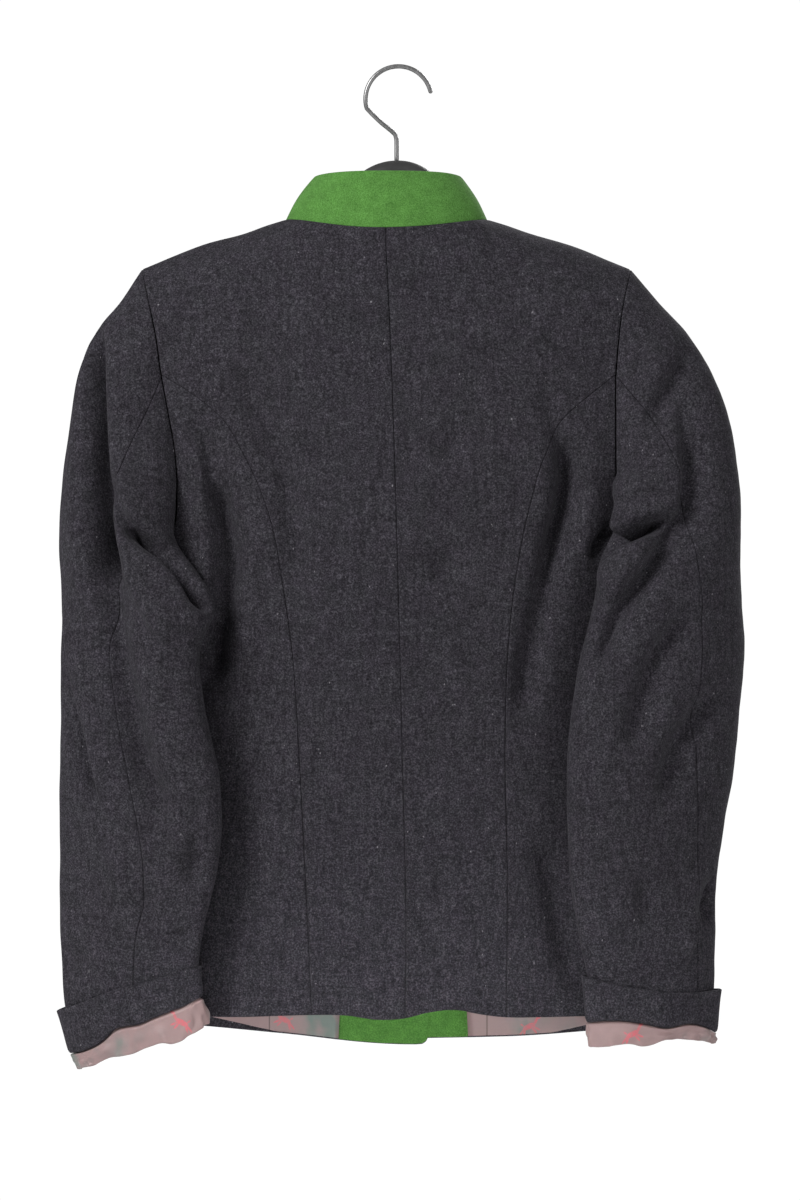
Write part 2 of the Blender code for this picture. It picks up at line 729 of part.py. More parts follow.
def build_cuff(side, sleeve, columns):
    """The turned-up wool cuff, and the lining that hangs out of the sleeve's end."""
    around = np.linspace(0, 2 * math.pi, CUFF_COLUMNS + 1)[:-1]
    end = SLEEVE_END - 1.0
    heights = (end, end + CUFF_TALL * 0.5, end + CUFF_TALL)
    outer = tube_rings(side, heights, around, CUFF_CLEAR + WOOL)
    inner = tube_rings(side, heights, around, CUFF_CLEAR)
    add_wall("cuff_" + SIDES[side], outer, inner, "wool", True)
    rows = len(LINING_ROWS)
    grid = np.repeat(np.array(LINING_ROWS)[:, None], len(columns), 1)
    points, out, fold = sleeve.wall(np.repeat(columns[None, :], rows, 0), grid)
    outer = points + out * (fold - WOOL - GAP)[..., None]
    add_wall("cuff_lining_" + SIDES[side], outer, outer - out * LINING, "lining", True)


def build_collar(back_necks, front_necks):
    """The stand collar, on the neckline's own points, leaning in and parted at the centre front."""
    left = [back_necks[-1][1:], front_necks[-1][::-1][1:]]
    right = [back_necks[1][1:], front_necks[1][::-1][1:]]
    middle = (back_necks[-1][:1] + back_necks[1][:1]) / 2
    half_left = np.concatenate(left)[::-1]
    half_right = np.concatenate(right)
    foot = np.concatenate([half_left, middle, half_right])
    y_share = np.clip(-foot[:, 1] / 42, -1, 1)
    back = np.clip(y_share, 0, 1)
    front = np.clip(-foot[:, 1] / -58, 0, 1)
    top = np.stack([
        SHOULDER_CENTRE + 1.0 + (foot[:, 0] - SHOULDER_CENTRE) * 0.735,
        foot[:, 1] * 0.86 + 1.0,
        foot[:, 2] + 33.5 + 11.5 * back**1.5 + 4 * front,
    ], -1)
    foot = foot + np.array([0, 0, COLLAR_GAP])
    shares = np.linspace(0, 1, 4)[:, None, None]
    outer = foot[None] + (top - foot)[None] * shares
    along = np.gradient(outer, axis=1)
    up = np.gradient(outer, axis=0)
    out = unit(np.cross(along, up))
    out[0, :, 2] = 0
    out = unit(out)
    add_wall("collar", outer, outer - out * WOOL, "felt")


def loft_faces(rings, count):
    """Faces of a solid that runs through rings of points, closed at both ends."""
    last = (rings - 1) * count
    faces = [tuple(range(count)), tuple(last + i for i in reversed(range(count)))]
    for i in range(rings - 1):
        for k in range(count):
            n = (k + 1) % count
            faces.append((i * count + k, i * count + n, (i + 1) * count + n, (i + 1) * count + k))
    return faces


def build_hanger():
    """The bar of the hanger: oval sections under the shoulders, rising to a low dome."""
    left, right = HANGER_NECK
    xs = np.concatenate([
        np.linspace(HANGER_ENDS[0], left, 8)[:-1],
        np.linspace(left, right, 17),
        np.linspace(right, HANGER_ENDS[1], 8)[1:],
    ])
    out = np.abs(xs - SHOULDER_CENTRE)
    arms = SHOULDER.read("height", out) - WOOL - GAP - HANGER_CLEAR
    top = np.where((xs < left) | (xs > right), arms, HANGER_TOP.read("height", xs))
    taper = np.clip((np.minimum(xs - HANGER_ENDS[0], HANGER_ENDS[1] - xs) + 3) / 14, 0.2, 1) ** 0.5
    deep = (7.0 + 2.5 * np.exp(-((xs + 1) / 30) ** 2)) * taper
    wide = (10.0 - 1.5 * np.exp(-((xs + 1) / 30) ** 2)) * taper
    turns = np.linspace(0, 2 * math.pi, 13)[:-1]
    points = []
    for x, t, d, w in zip(xs, top, deep, wide):
        for a in turns:
            points.append(np.array([x, w * math.sin(a), t - d + d * math.cos(a)]))
    add_solid("hanger", points, loft_faces(len(xs), len(turns)), "hanger")


def build_hook():
    first, last = HOOK_ARC
    arc = [
        (HOOK_CENTRE[0] + HOOK_RADIUS * math.cos(math.radians(a)),
         HOOK_CENTRE[1] + HOOK_RADIUS * math.sin(math.radians(a)))
        for a in np.linspace(first, last, 24)
    ]
    route = arc + list(HOOK_STEM)
    curve = bpy.data.curves.new("hook", "CURVE")
    curve.dimensions = "3D"
    curve.bevel_depth = WIRE * MM
    curve.bevel_resolution = 2
    curve.use_fill_caps = True
    line = curve.splines.new("POLY")
    line.points.add(len(route) - 1)
    for point, (x, z) in zip(line.points, route):
        point.co = (x * MM, 0, z * MM, 1)
    made = bpy.data.objects.new("hook", curve)
    made.data.materials.append(material("hook.hook"))
    bpy.context.collection.objects.link(made)


def build_buttons():
    """Plain domed buttons down the centre front."""
    for i in range(BUTTONS):
        height = BUTTON_TOP - BUTTON_STEP * i
        angle = float(angle_at(FRONT_EDGE_LINE - BODY.read("centre", height), np.array(height), True))
        angle = angle if angle > 0 else angle + 2 * math.pi
        point, out, _ = body_face(np.array([angle]), np.array([float(height)]))
        out = out[0] * (1.0 if out[0][1] > 0 else -1.0)
        right = unit(np.cross(out, [0, 0, 1.0]))
        up = np.cross(right, out)
        points = []
        for rise, wide in BUTTON_RINGS:
            for a in np.linspace(0, 2 * math.pi, BUTTON_SIDES + 1)[:-1]:
                spot = point[0] + out * (BUTTON_CLEAR + rise * BUTTON_THICK)
                points.append(spot + BUTTON_RADIUS * wide * (right * math.cos(a) + up * math.sin(a)))
        add_solid("button_" + str(i + 1), points, loft_faces(len(BUTTON_RINGS), BUTTON_SIDES), "button")


def main():
    for old in list(bpy.data.objects):
        bpy.data.objects.remove(old)
    backs, back_necks = build_backs()
    side_backs = build_side_backs()
    fronts, front_necks = build_fronts()
    for side in (-1, 1):
        sleeve, columns = build_sleeve(side, armhole_loop(backs, side_backs, fronts, side))
        build_cuff(side, sleeve, columns)
    build_collar(back_necks, front_necks)
    build_hanger()
    build_hook()
    build_buttons()


main()
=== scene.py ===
"""The looks of a women's trachten jacket on a hanger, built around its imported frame.

The jacket is cut again as fine cloth walls from the same sizes as its solids. Sizes in the tables
are millimetres; the back faces -Y, where the camera is, and +X is the wearer's right.
"""

import math
from functools import cache

import bmesh
import bpy
import mathutils
import numpy as np
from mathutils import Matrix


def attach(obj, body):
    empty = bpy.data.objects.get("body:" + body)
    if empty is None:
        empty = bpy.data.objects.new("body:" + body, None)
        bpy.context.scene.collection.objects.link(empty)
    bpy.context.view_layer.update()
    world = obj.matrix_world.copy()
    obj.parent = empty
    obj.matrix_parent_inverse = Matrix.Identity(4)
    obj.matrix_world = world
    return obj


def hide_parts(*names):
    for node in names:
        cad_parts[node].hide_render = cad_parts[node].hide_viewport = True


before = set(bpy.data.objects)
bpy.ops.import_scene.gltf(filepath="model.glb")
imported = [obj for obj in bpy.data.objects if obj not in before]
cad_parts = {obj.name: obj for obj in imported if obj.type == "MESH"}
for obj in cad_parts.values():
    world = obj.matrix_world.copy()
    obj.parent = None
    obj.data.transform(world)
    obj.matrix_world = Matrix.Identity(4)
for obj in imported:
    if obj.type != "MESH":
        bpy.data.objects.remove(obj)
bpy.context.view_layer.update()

MM = 0.001
GAP = 0.3
WOOL = 2.0
FACING = 1.2
LINING = 1.0

# The body's levels
ROUND_START = -194.5
ROUND = 75.0
TOP = ROUND_START + ROUND
RISE_TOP = ROUND_START + ROUND * math.pi / 2
TILT_START = -230.0
UNDERARM = -386.0
APEX = -244.0
SQUARE = 0.2
ARMHOLE_OUT = 185.0
SHOULDER_CENTRE = -9.5
NECK_HALF = 79.5
NECK_DIP = 9.5
NECK_FULL = 0.93
NECK_SCOOP = 75.0
NECK_CURVE = 0.85
FRONT_EDGE_LINE = 3.5
OVERLAP = 20.0
LAP_GAP = 0.6
LAP_FROM = -80.0
LAP_FULL = -26.0
UNDERLAP_SET = WOOL + GAP + FACING + LAP_GAP
HEM_LEVEL = -746.0
HEM_BLEND = 150.0
# How far up the hem's waves and the fronts' rounded corners reach
WAVE_BLEND = 60.0
CORNER_BLEND = 50.0
# How far the facing and the lining lie inside the wool, and how much shorter they are
INSIDE_GAP = 0.15
FACING_SHORT = 0.8
LINING_SHORT = 1.2

# The sleeves
CAP_TOP = -200.0
CAP_END = -450.0
SLEEVE_END = -747.0
SHEAR = 0.35
UNDERARM_CLEAR = 1.6
ARMHOLE_GAP = 0.1
CLEAR_START = (-300, -330)
BODY_CLEAR = 3.6
LOW_CLEAR = 1.6
# Shares down the sleeve over which it comes clear of the body, and leaves the underarm
CLEAR_FULL = 0.16
UNDERARM_ENDS = (1.3, 1.0)
# How softly it is pushed out, at the armhole and how much more below
CLEAR_SOFT = (0.0008, 0.02)
FOLD_FADE = (1.95, 1.7)
FOLD_ENDS = 3.3


class Table:
    """Rows of sizes with named columns, read at any height along a smooth curve."""

    def __init__(self, columns, *rows):
        self.columns = columns
        self.rows = np.array(sorted(rows), float)

    def read(self, name, at):
        keys = self.rows[:, 0]
        values = self.rows[:, self.columns.index(name)]
        slopes = np.gradient(values, keys)
        at = np.clip(at, keys[0], keys[-1])
        i = np.clip(np.searchsorted(keys, at) - 1, 0, len(keys) - 2)
        span = keys[i + 1] - keys[i]
        t = (at - keys[i]) / span
        low = (2 * t**3 - 3 * t**2 + 1) * values[i] + (t**3 - 2 * t**2 + t) * span * slopes[i]
        high = (3 * t**2 - 2 * t**3) * values[i + 1] + (t**3 - t**2) * span * slopes[i + 1]
        return low + high


BODY = Table(
    ("height", "centre", "half", "back", "front", "side"),
    (-119, -9.5, 232, -45, 50, 0),
    (-250, -7.5, 222, -47, 57, 4),
    (-330, -4.5, 206, -49, 62, 5),
    (-386, -3.0, 192, -49, 62, 5),
    (-530, 1.0, 177, -44, 54, 9),
    (-640, 3.0, 192, -45, 54, 11),
    (-780, 3.0, 212, -46, 54, 11),
)
SHOULDER = Table(
    ("out", "height"),
    (80, -119.5),
    (95, -124),
    (110, -129.5),
    (148, -141),
    (178, -153),
    (194, -159.5),
    (212, -167),
)
CENTRE_BACK = Table(
    ("height", "x"),
    (-129, -9.7),
    (-265, -4.4),
    (-420, 0.2),
    (-530, 2.8),
    (-700, 5.9),
    (-780, 4.3),
)
HEM = Table(
    ("degrees", "left", "right"),
    (0, -746, -746),
    (50, -746, -744),
    (75, -748, -747),
    (100, -756, -757),
    (133, -763, -766),
    (152, -769, -771),
    (180, -778, -774),
    (190, -778, -775),
)
# The x of the princess seams, from the armhole to the hem
PRINCESS = Table(
    ("height", "left", "right"),
    (-244, -186, 171),
    (-257, -165, 154),
    (-276, -141, 132),
    (-307, -121, 115),
    (-350, -102.5, 102),
    (-401, -91.6, 92),
    (-463, -83, 85.5),
    (-530, -78.4, 83.5),
    (-640, -72.5, 85.3),
    (-780, -66, 83.5),
)
# How far the armhole lies from the body's centre line, on the back and on the front
ARMHOLE = Table(
    ("height", "back_left", "back_right", "front"),
    (-158, 193, 193, 193),
    (-180, 188.5, 187.5, 181),
    (-213, 182, 181.5, 170),
    (-243, 178.5, 178.5, 164),
    (-275, 173.5, 177, 160),
    (-310, 169.5, 176, 158.5),
    (-340, 169.5, 176, 162),
    (-365, 174, 177.5, 172),
    (-386, 192, 192, 192),
)
# Sleeve sections: outer and inner edges across, the middle, and the depths near the camera and far
LEFT_SLEEVE = Table(
    ("height", "outer", "inner", "middle", "near", "far", "tilt", "elbow"),
    (-159, -203, -178, -10, 34, 30, 0, 90),
    (-185, -220, -178, -16, 35, 30, 0, 88),
    (-210, -240, -178, -22, 36, 30, 0, 86),
    (-240, -252, -178, -28, 37, 30, 0, 82),
    (-280, -258, -176, -31, 37, 29, 0, 76),
    (-330, -265, -175, -32, 37, 28, 0, 72),
    (-374, -267, -176, -32, 36, 27, 0, 71),
    (-400, -266.5, -157, -32, 36, 27, 0, 71),
    (-425, -266, -143, -32, 36, 26, 0, 71),
    (-455, -266, -154, -33, 35, 25, 0, 71),
    (-500, -266, -151, -34, 34, 24, 0, 76),
    (-566, -267, -138, -35, 32, 22, 0.02, 84),
    (-600, -267, -137, -36, 29, 21, 0.08, 90),
    (-645, -266.5, -142, -37, 25, 19, 0.16, 96),
    (-690, -265, -151, -38, 20, 16, 0.26, 93),
    (-722, -263, -155, -38, 16, 14, 0.31, 93),
    (-752, -254, -155, -38, 14, 13, 0.40, 93),
)
RIGHT_SLEEVE = Table(
    ("height", "outer", "inner", "middle", "near", "far", "tilt", "elbow"),
    (-158, 184, 165, -10, 34, 30, 0, 90),
    (-185, 207, 165, -16, 35, 30, 0, 88),
    (-210, 229, 165, -22, 36, 30, 0, 84),
    (-240, 247, 166, -28, 37, 30, 0, 78),
    (-280, 262, 168, -31, 37, 29, 0, 72),
    (-330, 269, 169, -32, 37, 28, 0, 68),
    (-365, 270, 160, -32, 36, 27, 0, 66),
    (-390, 270, 154, -32, 36, 27, 0, 65),
    (-425, 271, 151, -32, 36, 26, 0, 64),
    (-470, 272.5, 140, -33, 35, 25, 0, 63),
    (-500, 270, 135, -34, 34, 24, 0, 62),
    (-550, 265, 131, -35, 32, 23, 0, 58),
    (-600, 256, 131, -36, 29, 21, -0.02, 50),
    (-645, 250, 134, -37, 25, 19, -0.05, 44),
    (-690, 249, 141, -38, 20, 16, -0.09, 44),
    (-722, 248, 147, -38, 16, 14, -0.11, 44),
    (-752, 246, 148, -38, 14, 13, -0.09, 44),
)
SLEEVES = {-1: LEFT_SLEEVE, 1: RIGHT_SLEEVE}
SIDES = {-1: "left", 1: "right"}
FRONT_SEAM = 203.0
UNDER_TURN = math.radians(225.0)

# Folds: how far the cloth moves out (minus: in), how wide the fold is towards the viewer's left and
# right, and its route as x, z, from the top down
BODY_FOLDS = (
    (-8, 9, 16, ((-160, -255), (-150, -300), (-143, -345), (-137, -380), (-140, -420), (-148, -450),
                 (-152, -505))),
    (-12, 5, 11, ((-148, -322), (-143, -345), (-138, -370), (-136, -395), (-139, -420), (-147, -445),
                  (-151, -490))),
    (6, 8, 4, ((-159, -290), (-152, -345), (-148, -380), (-149, -425))),
    (-6, 7, 12, ((108, -238), (118, -270), (129, -300), (133, -322), (128, -350), (120, -380),
                 (115, -405))),
    (-11, 9, 10, ((124, -288), (132, -318), (129, -346), (122, -373), (117, -397), (110, -430), (102, -464),
                  (96, -520))),
    (-5, 5, 7, ((127, -296), (133, -325), (127, -352), (118, -385), (112, -420))),
    (4, 6, 10, ((145, -300), (149, -345), (142, -395))),
    (-11, 4, 5, ((176, -358), (164, -368), (157, -376), (152, -392))),
    (-9, 12, 12, ((-132, -228), (-115, -262), (-98, -292), (-88, -319), (-83, -350), (-77, -418))),
    (-5, 4, 8, ((108, -208), (135, -228), (175, -250))),
    (-5, 13, 13, ((50, -288), (34, -320))),
    (-6, 14, 14, ((47, -369), (28, -418))),
    (-9, 12, 12, ((106, -598), (122, -641), (132, -697), (142, -735))),
    (-5, 9, 9, ((7, -631), (21, -670), (31, -697))),
    (-4, 7, 7, ((34, -615), (34, -680))),
    (-6, 20, 22, ((-125, -420), (-110, -470), (-116, -540), (-138, -590))),
    (3, 22, 22, ((-60, -180), (-70, -230))),
    (3, 22, 22, ((55, -180), (60, -235))),
)
SLEEVE_FOLDS = {
    -1: (
        (-26, 10, 6, ((-244, -185), (-239, -240), (-235, -300), (-231, -345), (-226, -415))),
        (3, 8, 8, ((-252, -215), (-254, -290), (-252, -380), (-248, -430))),
        (-14, 11, 11, ((-233, -350), (-226, -410), (-218, -466), (-209, -505), (-200, -549), (-178, -605))),
        (9, 5, 16, ((-200, -309), (-217, -327), (-219, -347), (-215, -376), (-207, -405), (-193, -432),
                    (-171, -466))),
        (-9, 7, 3.5, ((-226, -318), (-219, -342), (-212, -358), (-201, -369), (-189, -377), (-180, -383),
                      (-172, -391), (-166, -399), (-160, -407), (-154, -417), (-140, -430))),
        (-15, 5, 3, ((-214, -364), (-200, -371), (-189, -378), (-180, -384), (-172, -392), (-166, -399),
                     (-160, -407), (-154, -417), (-136, -434))),
        (4, 9, 5, ((-206, -380), (-182, -393), (-171, -406), (-161, -422))),
        (6, 3, 14, ((-262, -420), (-257, -450), (-250, -487), (-238, -535), (-226, -590))),
        (-9, 8, 3, ((-268, -430), (-263, -455), (-256, -490), (-244, -540), (-234, -580))),
        (6, 10, 10, ((-181, -601), (-158, -611))),
        (-9, 9, 9, ((-165, -611), (-155, -641), (-148, -644))),
        (-9, 12, 12, ((-275, -715), (-258, -706), (-235, -700))),
        (-9, 8, 8, ((-185, -690), (-168, -684), (-152, -680))),
        (5, 12, 12, ((-224, -600), (-212, -660))),
        (-6, 9, 9, ((-200, -640), (-192, -690))),
    ),
    1: (
        (-11, 9, 11, ((236, -212), (219, -245), (208, -262), (197, -279), (180, -292))),
        (6, 20, 20, ((184, -318), (188, -346))),
        (-8, 6, 18, ((219, -240), (224, -280), (227, -330), (223, -352), (211, -370), (195, -390))),
        (-8, 4, 14, ((225, -285), (228, -320), (225, -350), (213, -368), (199, -386))),
        (-13, 3.5, 6, ((211, -359), (199, -359.5), (186, -364.5), (176, -370), (165, -370.5), (156, -376),
                       (151, -382))),
        (-17, 5, 7, ((222, -353), (204, -359), (190, -362), (176, -367), (162, -373), (150, -384),
                     (134, -402))),
        (5, 5, 8, ((205, -370), (190, -374), (175, -380), (163, -385))),
        (8, 14, 4, ((203, -369), (189, -388), (173, -405), (160, -428))),
        (-13, 6, 11, ((210, -362), (202, -383), (187, -404), (171, -424), (159, -451), (152, -478))),
        (-6, 3, 3, ((153, -402), (150, -428))),
        (-11, 10, 12, ((235, -421), (204, -461), (188, -500), (180, -549))),
        (-11, 10, 12, ((263, -487), (244, -500), (217, -533), (204, -588))),
        (-12, 8, 9, ((246, -630), (241, -655), (235, -680))),
        (8, 14, 3, ((247, -622), (241, -650), (230, -682), (217, -718))),
        (-6, 9, 9, ((190, -620), (196, -680))),
    ),
}

# Hanger and hook
WIRE = 1.8
HANGER_CLEAR = 0.9
HOOK_RADIUS = 26.1
HOOK_CENTRE = (0.0, -24.3)
HOOK_ARC = (14.0, 196.0)
HOOK_STEM = ((-21.0, -35.8), (-14.0, -42.6), (-7.0, -48.2), (-2.6, -52.0), (-1.5, -56.0), (-1.5, -72.0))
HANGER_TOP = Table(
    ("x", "height"),
    (-96, -127.6),
    (-80, -124.0),
    (-60, -110.0),
    (-40, -91.5),
    (-25, -79.4),
    (-12, -74.0),
    (-1, -72.7),
    (10, -74.0),
    (23, -80.0),
    (38, -94),
    (50, -107.5),
    (60, -118.5),
    (68, -124.6),
    (80, -126.0),
)
HANGER_ENDS = (-182.0, 166.0)
HANGER_NECK = (-96.0, 80.0)
# Half the bar's height and depth, how much the dome adds to them, and the dome's own half width
HANGER_HALF = (7.0, 10.0)
HANGER_DOME = (2.5, -1.5)
DOME_WIDE = 30.0
HANGER_ROUND = 9.0

BUTTONS = 6
BUTTON_RADIUS = 8.5
BUTTON_THICK = 3.2
BUTTON_TOP = -222.0
BUTTON_STEP = 78.0
BUTTON_LIFT = 0.35
THREAD_FOOT = 2.56
THREAD_HALF = 2.1
THREAD_ARCH = 0.55
THREAD_RADIUS = 0.4
# Each ring's share of the thickness and of the radius
BUTTON_RINGS = ((0.0, 0.93), (0.35, 1.0), (0.65, 0.97), (1.0, 0.66))

# The finer form of the cloth
CELL = 2.6
FRONT_CELL = 3.5
RIM = (0.25, 0.8, 1.7)
# How wide a rim's rounding is and how far it goes in from the face and from the back, by thickness
RIM_WIDE = 0.55
RIM_FACE = 0.72
RIM_BACK = 0.2
RIPPLE = 0.55
PANEL_WIDE = 75.0
SLEEVE_LONG = 550.0
SLEEVE_FINE = (0.2, 0.56, 1.8)
UPPER_FINE = (0.62, 1.0, 1.6)
EDGE_BLUR = 25.0
# How far above and under the underarm the side edge's turn starts to be blurred, and is fully
BLUR_ABOVE = (150.0, 60.0)
BLUR_UNDER = (110.0, 60.0)
CORNER = 7.0
FACING_HEM = {-1: -47.6, 1: 56.0}
# How far out the wool shows under the front lining: where it starts, where it is full, how tall
LINING_WEDGE = {-1: (98.0, 152.0, 6.8), 1: (124.0, 152.0, 3.8)}
COLLAR_CORNER = 9.0
COLLAR_BELLY = 1.6
COLLAR_SET = 1.4
COLLAR_SINK = 3.5
COLLAR_THICK = 2.4
# The collar's top edge beside its foot: its width and depth by share, its height at the sides, and
# how much more it rises at the back and at the front
COLLAR_WIDE = 0.735
COLLAR_DEEP = 0.86
COLLAR_TALL = 33.5
COLLAR_BACK = 11.5
COLLAR_FRONT = 4.0
COLLAR_SPAN = 44.0
# How far the neck reaches behind and before the neck point
NECK_BEHIND = 42.0
NECK_BEFORE = 58.0
BACK_WAVE = Table(
    ("x", "drop"),
    (-200, 0),
    (-124, -1.4),
    (-93, 0),
    (-67, 1),
    (-39, 0.6),
    (-17, -2.3),
    (5, -1.2),
    (22, 2.8),
    (48, 4.3),
    (60, 1.6),
    (81, -1.8),
    (112, -2.9),
    (145, -3.0),
    (200, -2.5),
)
# The heights of each cuff's edges from the inner side (share 0) to the outer one
CUFFS = {
    -1: Table(
        ("share", "top", "bottom", "lining"),
        (0, -704.6, -728.6, -750),
        (0.135, -708.3, -736, -759.5),
        (0.243, -712.8, -740.5, -765),
        (0.36, -716.8, -745.5, -765),
        (0.46, -720, -750.4, -769.2),
        (0.56, -723, -752.5, -774),
        (0.65, -727, -755.5, -776.3),
        (0.74, -731.5, -764.8, -778.5),
        (0.865, -737.8, -772.5, -785),
        (1, -743.6, -777, -790),
    ),
    1: Table(
        ("share", "top", "bottom", "lining"),
        (0, -712, -748.5, -768),
        (0.13, -715.6, -747.4, -767.3),
        (0.27, -719.5, -747.4, -765.6),
        (0.44, -723, -750.4, -767.5),
        (0.6, -726, -754, -763.5),
        (0.8, -727.4, -751.8, -764.5),
        (0.92, -727, -755.5, -766.8),
        (1, -726.6, -760.5, -769.5),
    ),
}
# Where the inner and the outer side of a cuff lie at its top, its bottom and the lining's hem
CUFF_ENDS = {
    -1: ((-154.4, -151.7, -147.0), (-268.4, -259.3, -254.0)),
    1: ((142.5, 145.5, 147.5), (253.0, 250.8, 249.0)),
}
# The elbow seam's place round each cuff, in degrees
CUFF_SEAM = {-1: 88.0, 1: 44.0}
CUFF_MIDDLE = -38.0
CUFF_DEEP = 17.5
CUFF_COLUMNS = 140
CUFF_THICK = 1.9
# The cuff's slight waves, and the depth and the half width, as an angle, of its seam's groove
CUFF_WAVE = 0.35
CUFF_GROOVE = (0.9, 0.008)
# How far the lining lies inside the cuff before it comes out under it
CUFF_INSIDE = 5.6
# The lining's one bulge: how far it stands out, at which level, and how wide
LINING_BULGE = (1.2, 1.55, 0.22)
CUFF_SEAM_CELLS = (-0.024, -0.014, -0.007, 0.0, 0.007, 0.014, 0.024)
# The cuff's way round the sleeve's end: level (0 top, 1 bottom) and distance out
CUFF_PROFILE = (
    (0.0, 1.2), (0.01, 1.2), (0.03, 1.15), (0.08, 1.0), (0.16, 0.8), (0.26, 0.6), (0.36, 0.5), (0.46, 0.45),
    (0.56, 0.4), (0.66, 0.4), (0.76, 0.4), (0.85, 0.35), (0.92, 0.2), (0.97, -0.3), (1.0, -1.1),
    (1.0, -2.2), (0.97, -3.1), (0.92, -3.6), (0.84, -3.9), (0.72, -4.0), (0.6, -4.0), (0.5, -4.0),
)
# Pleats of the sleeve lining: waves round it, size, lean with the level, phase
RUMPLE = (
    (5, 0.9, 2.0, 0.7),
    (9, 0.9, -2.5, 1.9),
    (14, 0.8, 3.5, 0.4),
    (23, 0.45, -4.5, 2.6),
)

# Colours, linear
WOOL_DARK = (0.0085, 0.0074, 0.0099)
WOOL_MEAN = (0.0248, 0.0226, 0.0278)
WOOL_LIGHT = (0.071, 0.067, 0.0765)
LINT = (0.23, 0.22, 0.24)
FELT_DARK = (0.042, 0.132, 0.021)
FELT_MEAN = (0.076, 0.209, 0.04)
FELT_LIGHT = (0.125, 0.295, 0.076)
LINING_PINK = (0.315, 0.215, 0.211)
LINING_MEAN = (0.265, 0.21, 0.205)
LINING_GREEN = (0.155, 0.2, 0.175)
MOTIF_RED = (0.6, 0.1, 0.125)
HOOK_TONE = (0.13, 0.13, 0.135)
HANGER_TONE = (0.035, 0.035, 0.037)
BUTTON_TONE = (0.05, 0.04, 0.037)
BUTTON_DARK = (0.022, 0.018, 0.017)
BUTTON_MEAN = (0.055, 0.045, 0.04)
BUTTON_LIGHT = (0.11, 0.09, 0.075)
THREAD_TONE = (0.03, 0.03, 0.032)
THREAD_DARK = (0.018, 0.018, 0.02)
THREAD_LIGHT = (0.06, 0.058, 0.062)
FLOOR_TONE = (0.82, 0.82, 0.82)

# The motifs of the lining: where their rows start from the middle, how far apart they lie across
# and up, and how they lean with the cloth
MOTIF_MIDDLE = 0.0067
MOTIF_STEP = (0.0764, 0.050)
MOTIF_AT = (0.0984, -0.7607)
MOTIF_LEAN = (0.105, -0.027)
MOTIF_SIZE = 1.12
# The x of the lining's seams, where a thin line is darkened as painted shade of the seam's groove, and that
# line's half width, in metres
LINING_SEAM_SHADE_X = (-0.1038, 0.0712)
LINING_SEAM_SHADE_HALF = 0.0005
# One motif is a small leaping animal of ovals: centre, half sizes and lean, in metres and radians
MOTIF = (
    ((0.0, 0.0), (0.0046, 0.0020), 0.35),
    ((0.0046, 0.0034), (0.0028, 0.0010), 1.1),
    ((0.0064, 0.0058), (0.0017, 0.0009), 0.1),
    ((-0.0052, -0.0038), (0.0032, 0.0007), 0.9),
    ((-0.0034, -0.0042), (0.0030, 0.0007), 1.3),
    ((0.0052, -0.0016), (0.0030, 0.0007), -0.5),
    ((0.0036, -0.0030), (0.0028, 0.0007), -0.9),
    ((-0.0050, 0.0012), (0.0014, 0.0006), -0.7),
)

# Studio, in metres
BACK_PLANE = 0.045
CAMERA_X = 0.0012
CAMERA_Z = -0.4207
CAMERA_AWAY = 3.0
VIEW_TALL = 0.936
SENSOR = 36.0
FLOOR_Z = -1.25
FLOOR_NEAR = -3.5
FLOOR_FAR = 2.0
SKY = 0.27
SKY_TINT = (1.0, 0.985, 1.0, 1)
SEEN_SKY = 1.03
LIGHT_AIM = (0.0, -0.04, -0.42)
# Each light's place, its size, its power and how wide it spreads in degrees
LIGHTS = (
    ("key", (-2.1, -2.1, 1.35), 1.3, 107.0, 180),
    ("fill", (1.9, -2.2, -0.2), 1.8, 17.0, 180),
    ("front_key", (1.6, 2.4, 1.2), 1.6, 70.0, 180),
)
HEM_LIGHT = ((0.0, -1.7, -1.15), (0.0, 0.03, -0.95), 0.5, 0.5, 17)


def smooth(low, high, at):
    t = np.clip((at - low) / (high - low), 0, 1)
    return t * t * (3 - 2 * t)


def unit(vectors):
    return vectors / np.maximum(np.linalg.norm(vectors, axis=-1, keepdims=True), 1e-12)


def full_turn(count):
    """Angles evenly round a circle."""
    return np.linspace(0, 2 * math.pi, count + 1)[:-1]


def way_along(points):
    """How far each point of a line lies from its start."""
    return np.concatenate([[0], np.cumsum(np.linalg.norm(np.diff(points, axis=0), axis=1))])


def level_of(rise):
    turn = np.maximum(rise - ROUND_START, 0) / ROUND
    return np.where(rise < ROUND_START, rise, ROUND_START + ROUND * np.sin(turn))


def neck_drop(across, back):
    """How far the shoulder lies under the neck point, or the back neck under it."""
    out = np.abs(across)
    slope = SHOULDER.read("height", np.maximum(out, NECK_HALF)) - TOP
    dip = -NECK_DIP * np.clip(1 - (out / NECK_HALF) ** 2, 0, 1)
    return np.where(out < NECK_HALF, np.where(back, dip, 0), slope)


def body_point(angle, rise):
    """The jacket's outer face: angle 0 is the centre back and plus is the wearer's right.

    rise is the height, and above ROUND_START the way measured over the shoulder's round.
    """
    angle, rise = np.broadcast_arrays(np.asarray(angle, float), np.asarray(rise, float))
    turn = np.maximum(rise - ROUND_START, 0) / ROUND
    level = level_of(rise)
    full = np.cos(turn)
    across = BODY.read("half", level) * np.sin(angle)
    side = BODY.read("side", level)
    back = np.cos(angle) > 0
    deep = np.where(back, side - BODY.read("back", level), BODY.read("front", level) - side)
    y = side - deep * np.cos(angle) * (1 + SQUARE * np.sin(angle) ** 2)
    neck = NECK_FULL * np.sqrt(np.clip(1 - (across / NECK_HALF) ** 2, 0, 1))
    full = np.where(back, neck + (1 - neck) * full, full)
    z = level + neck_drop(across, back) * smooth(TILT_START, TOP, level)
    return np.stack([BODY.read("centre", level) + across, y * full, z], -1)


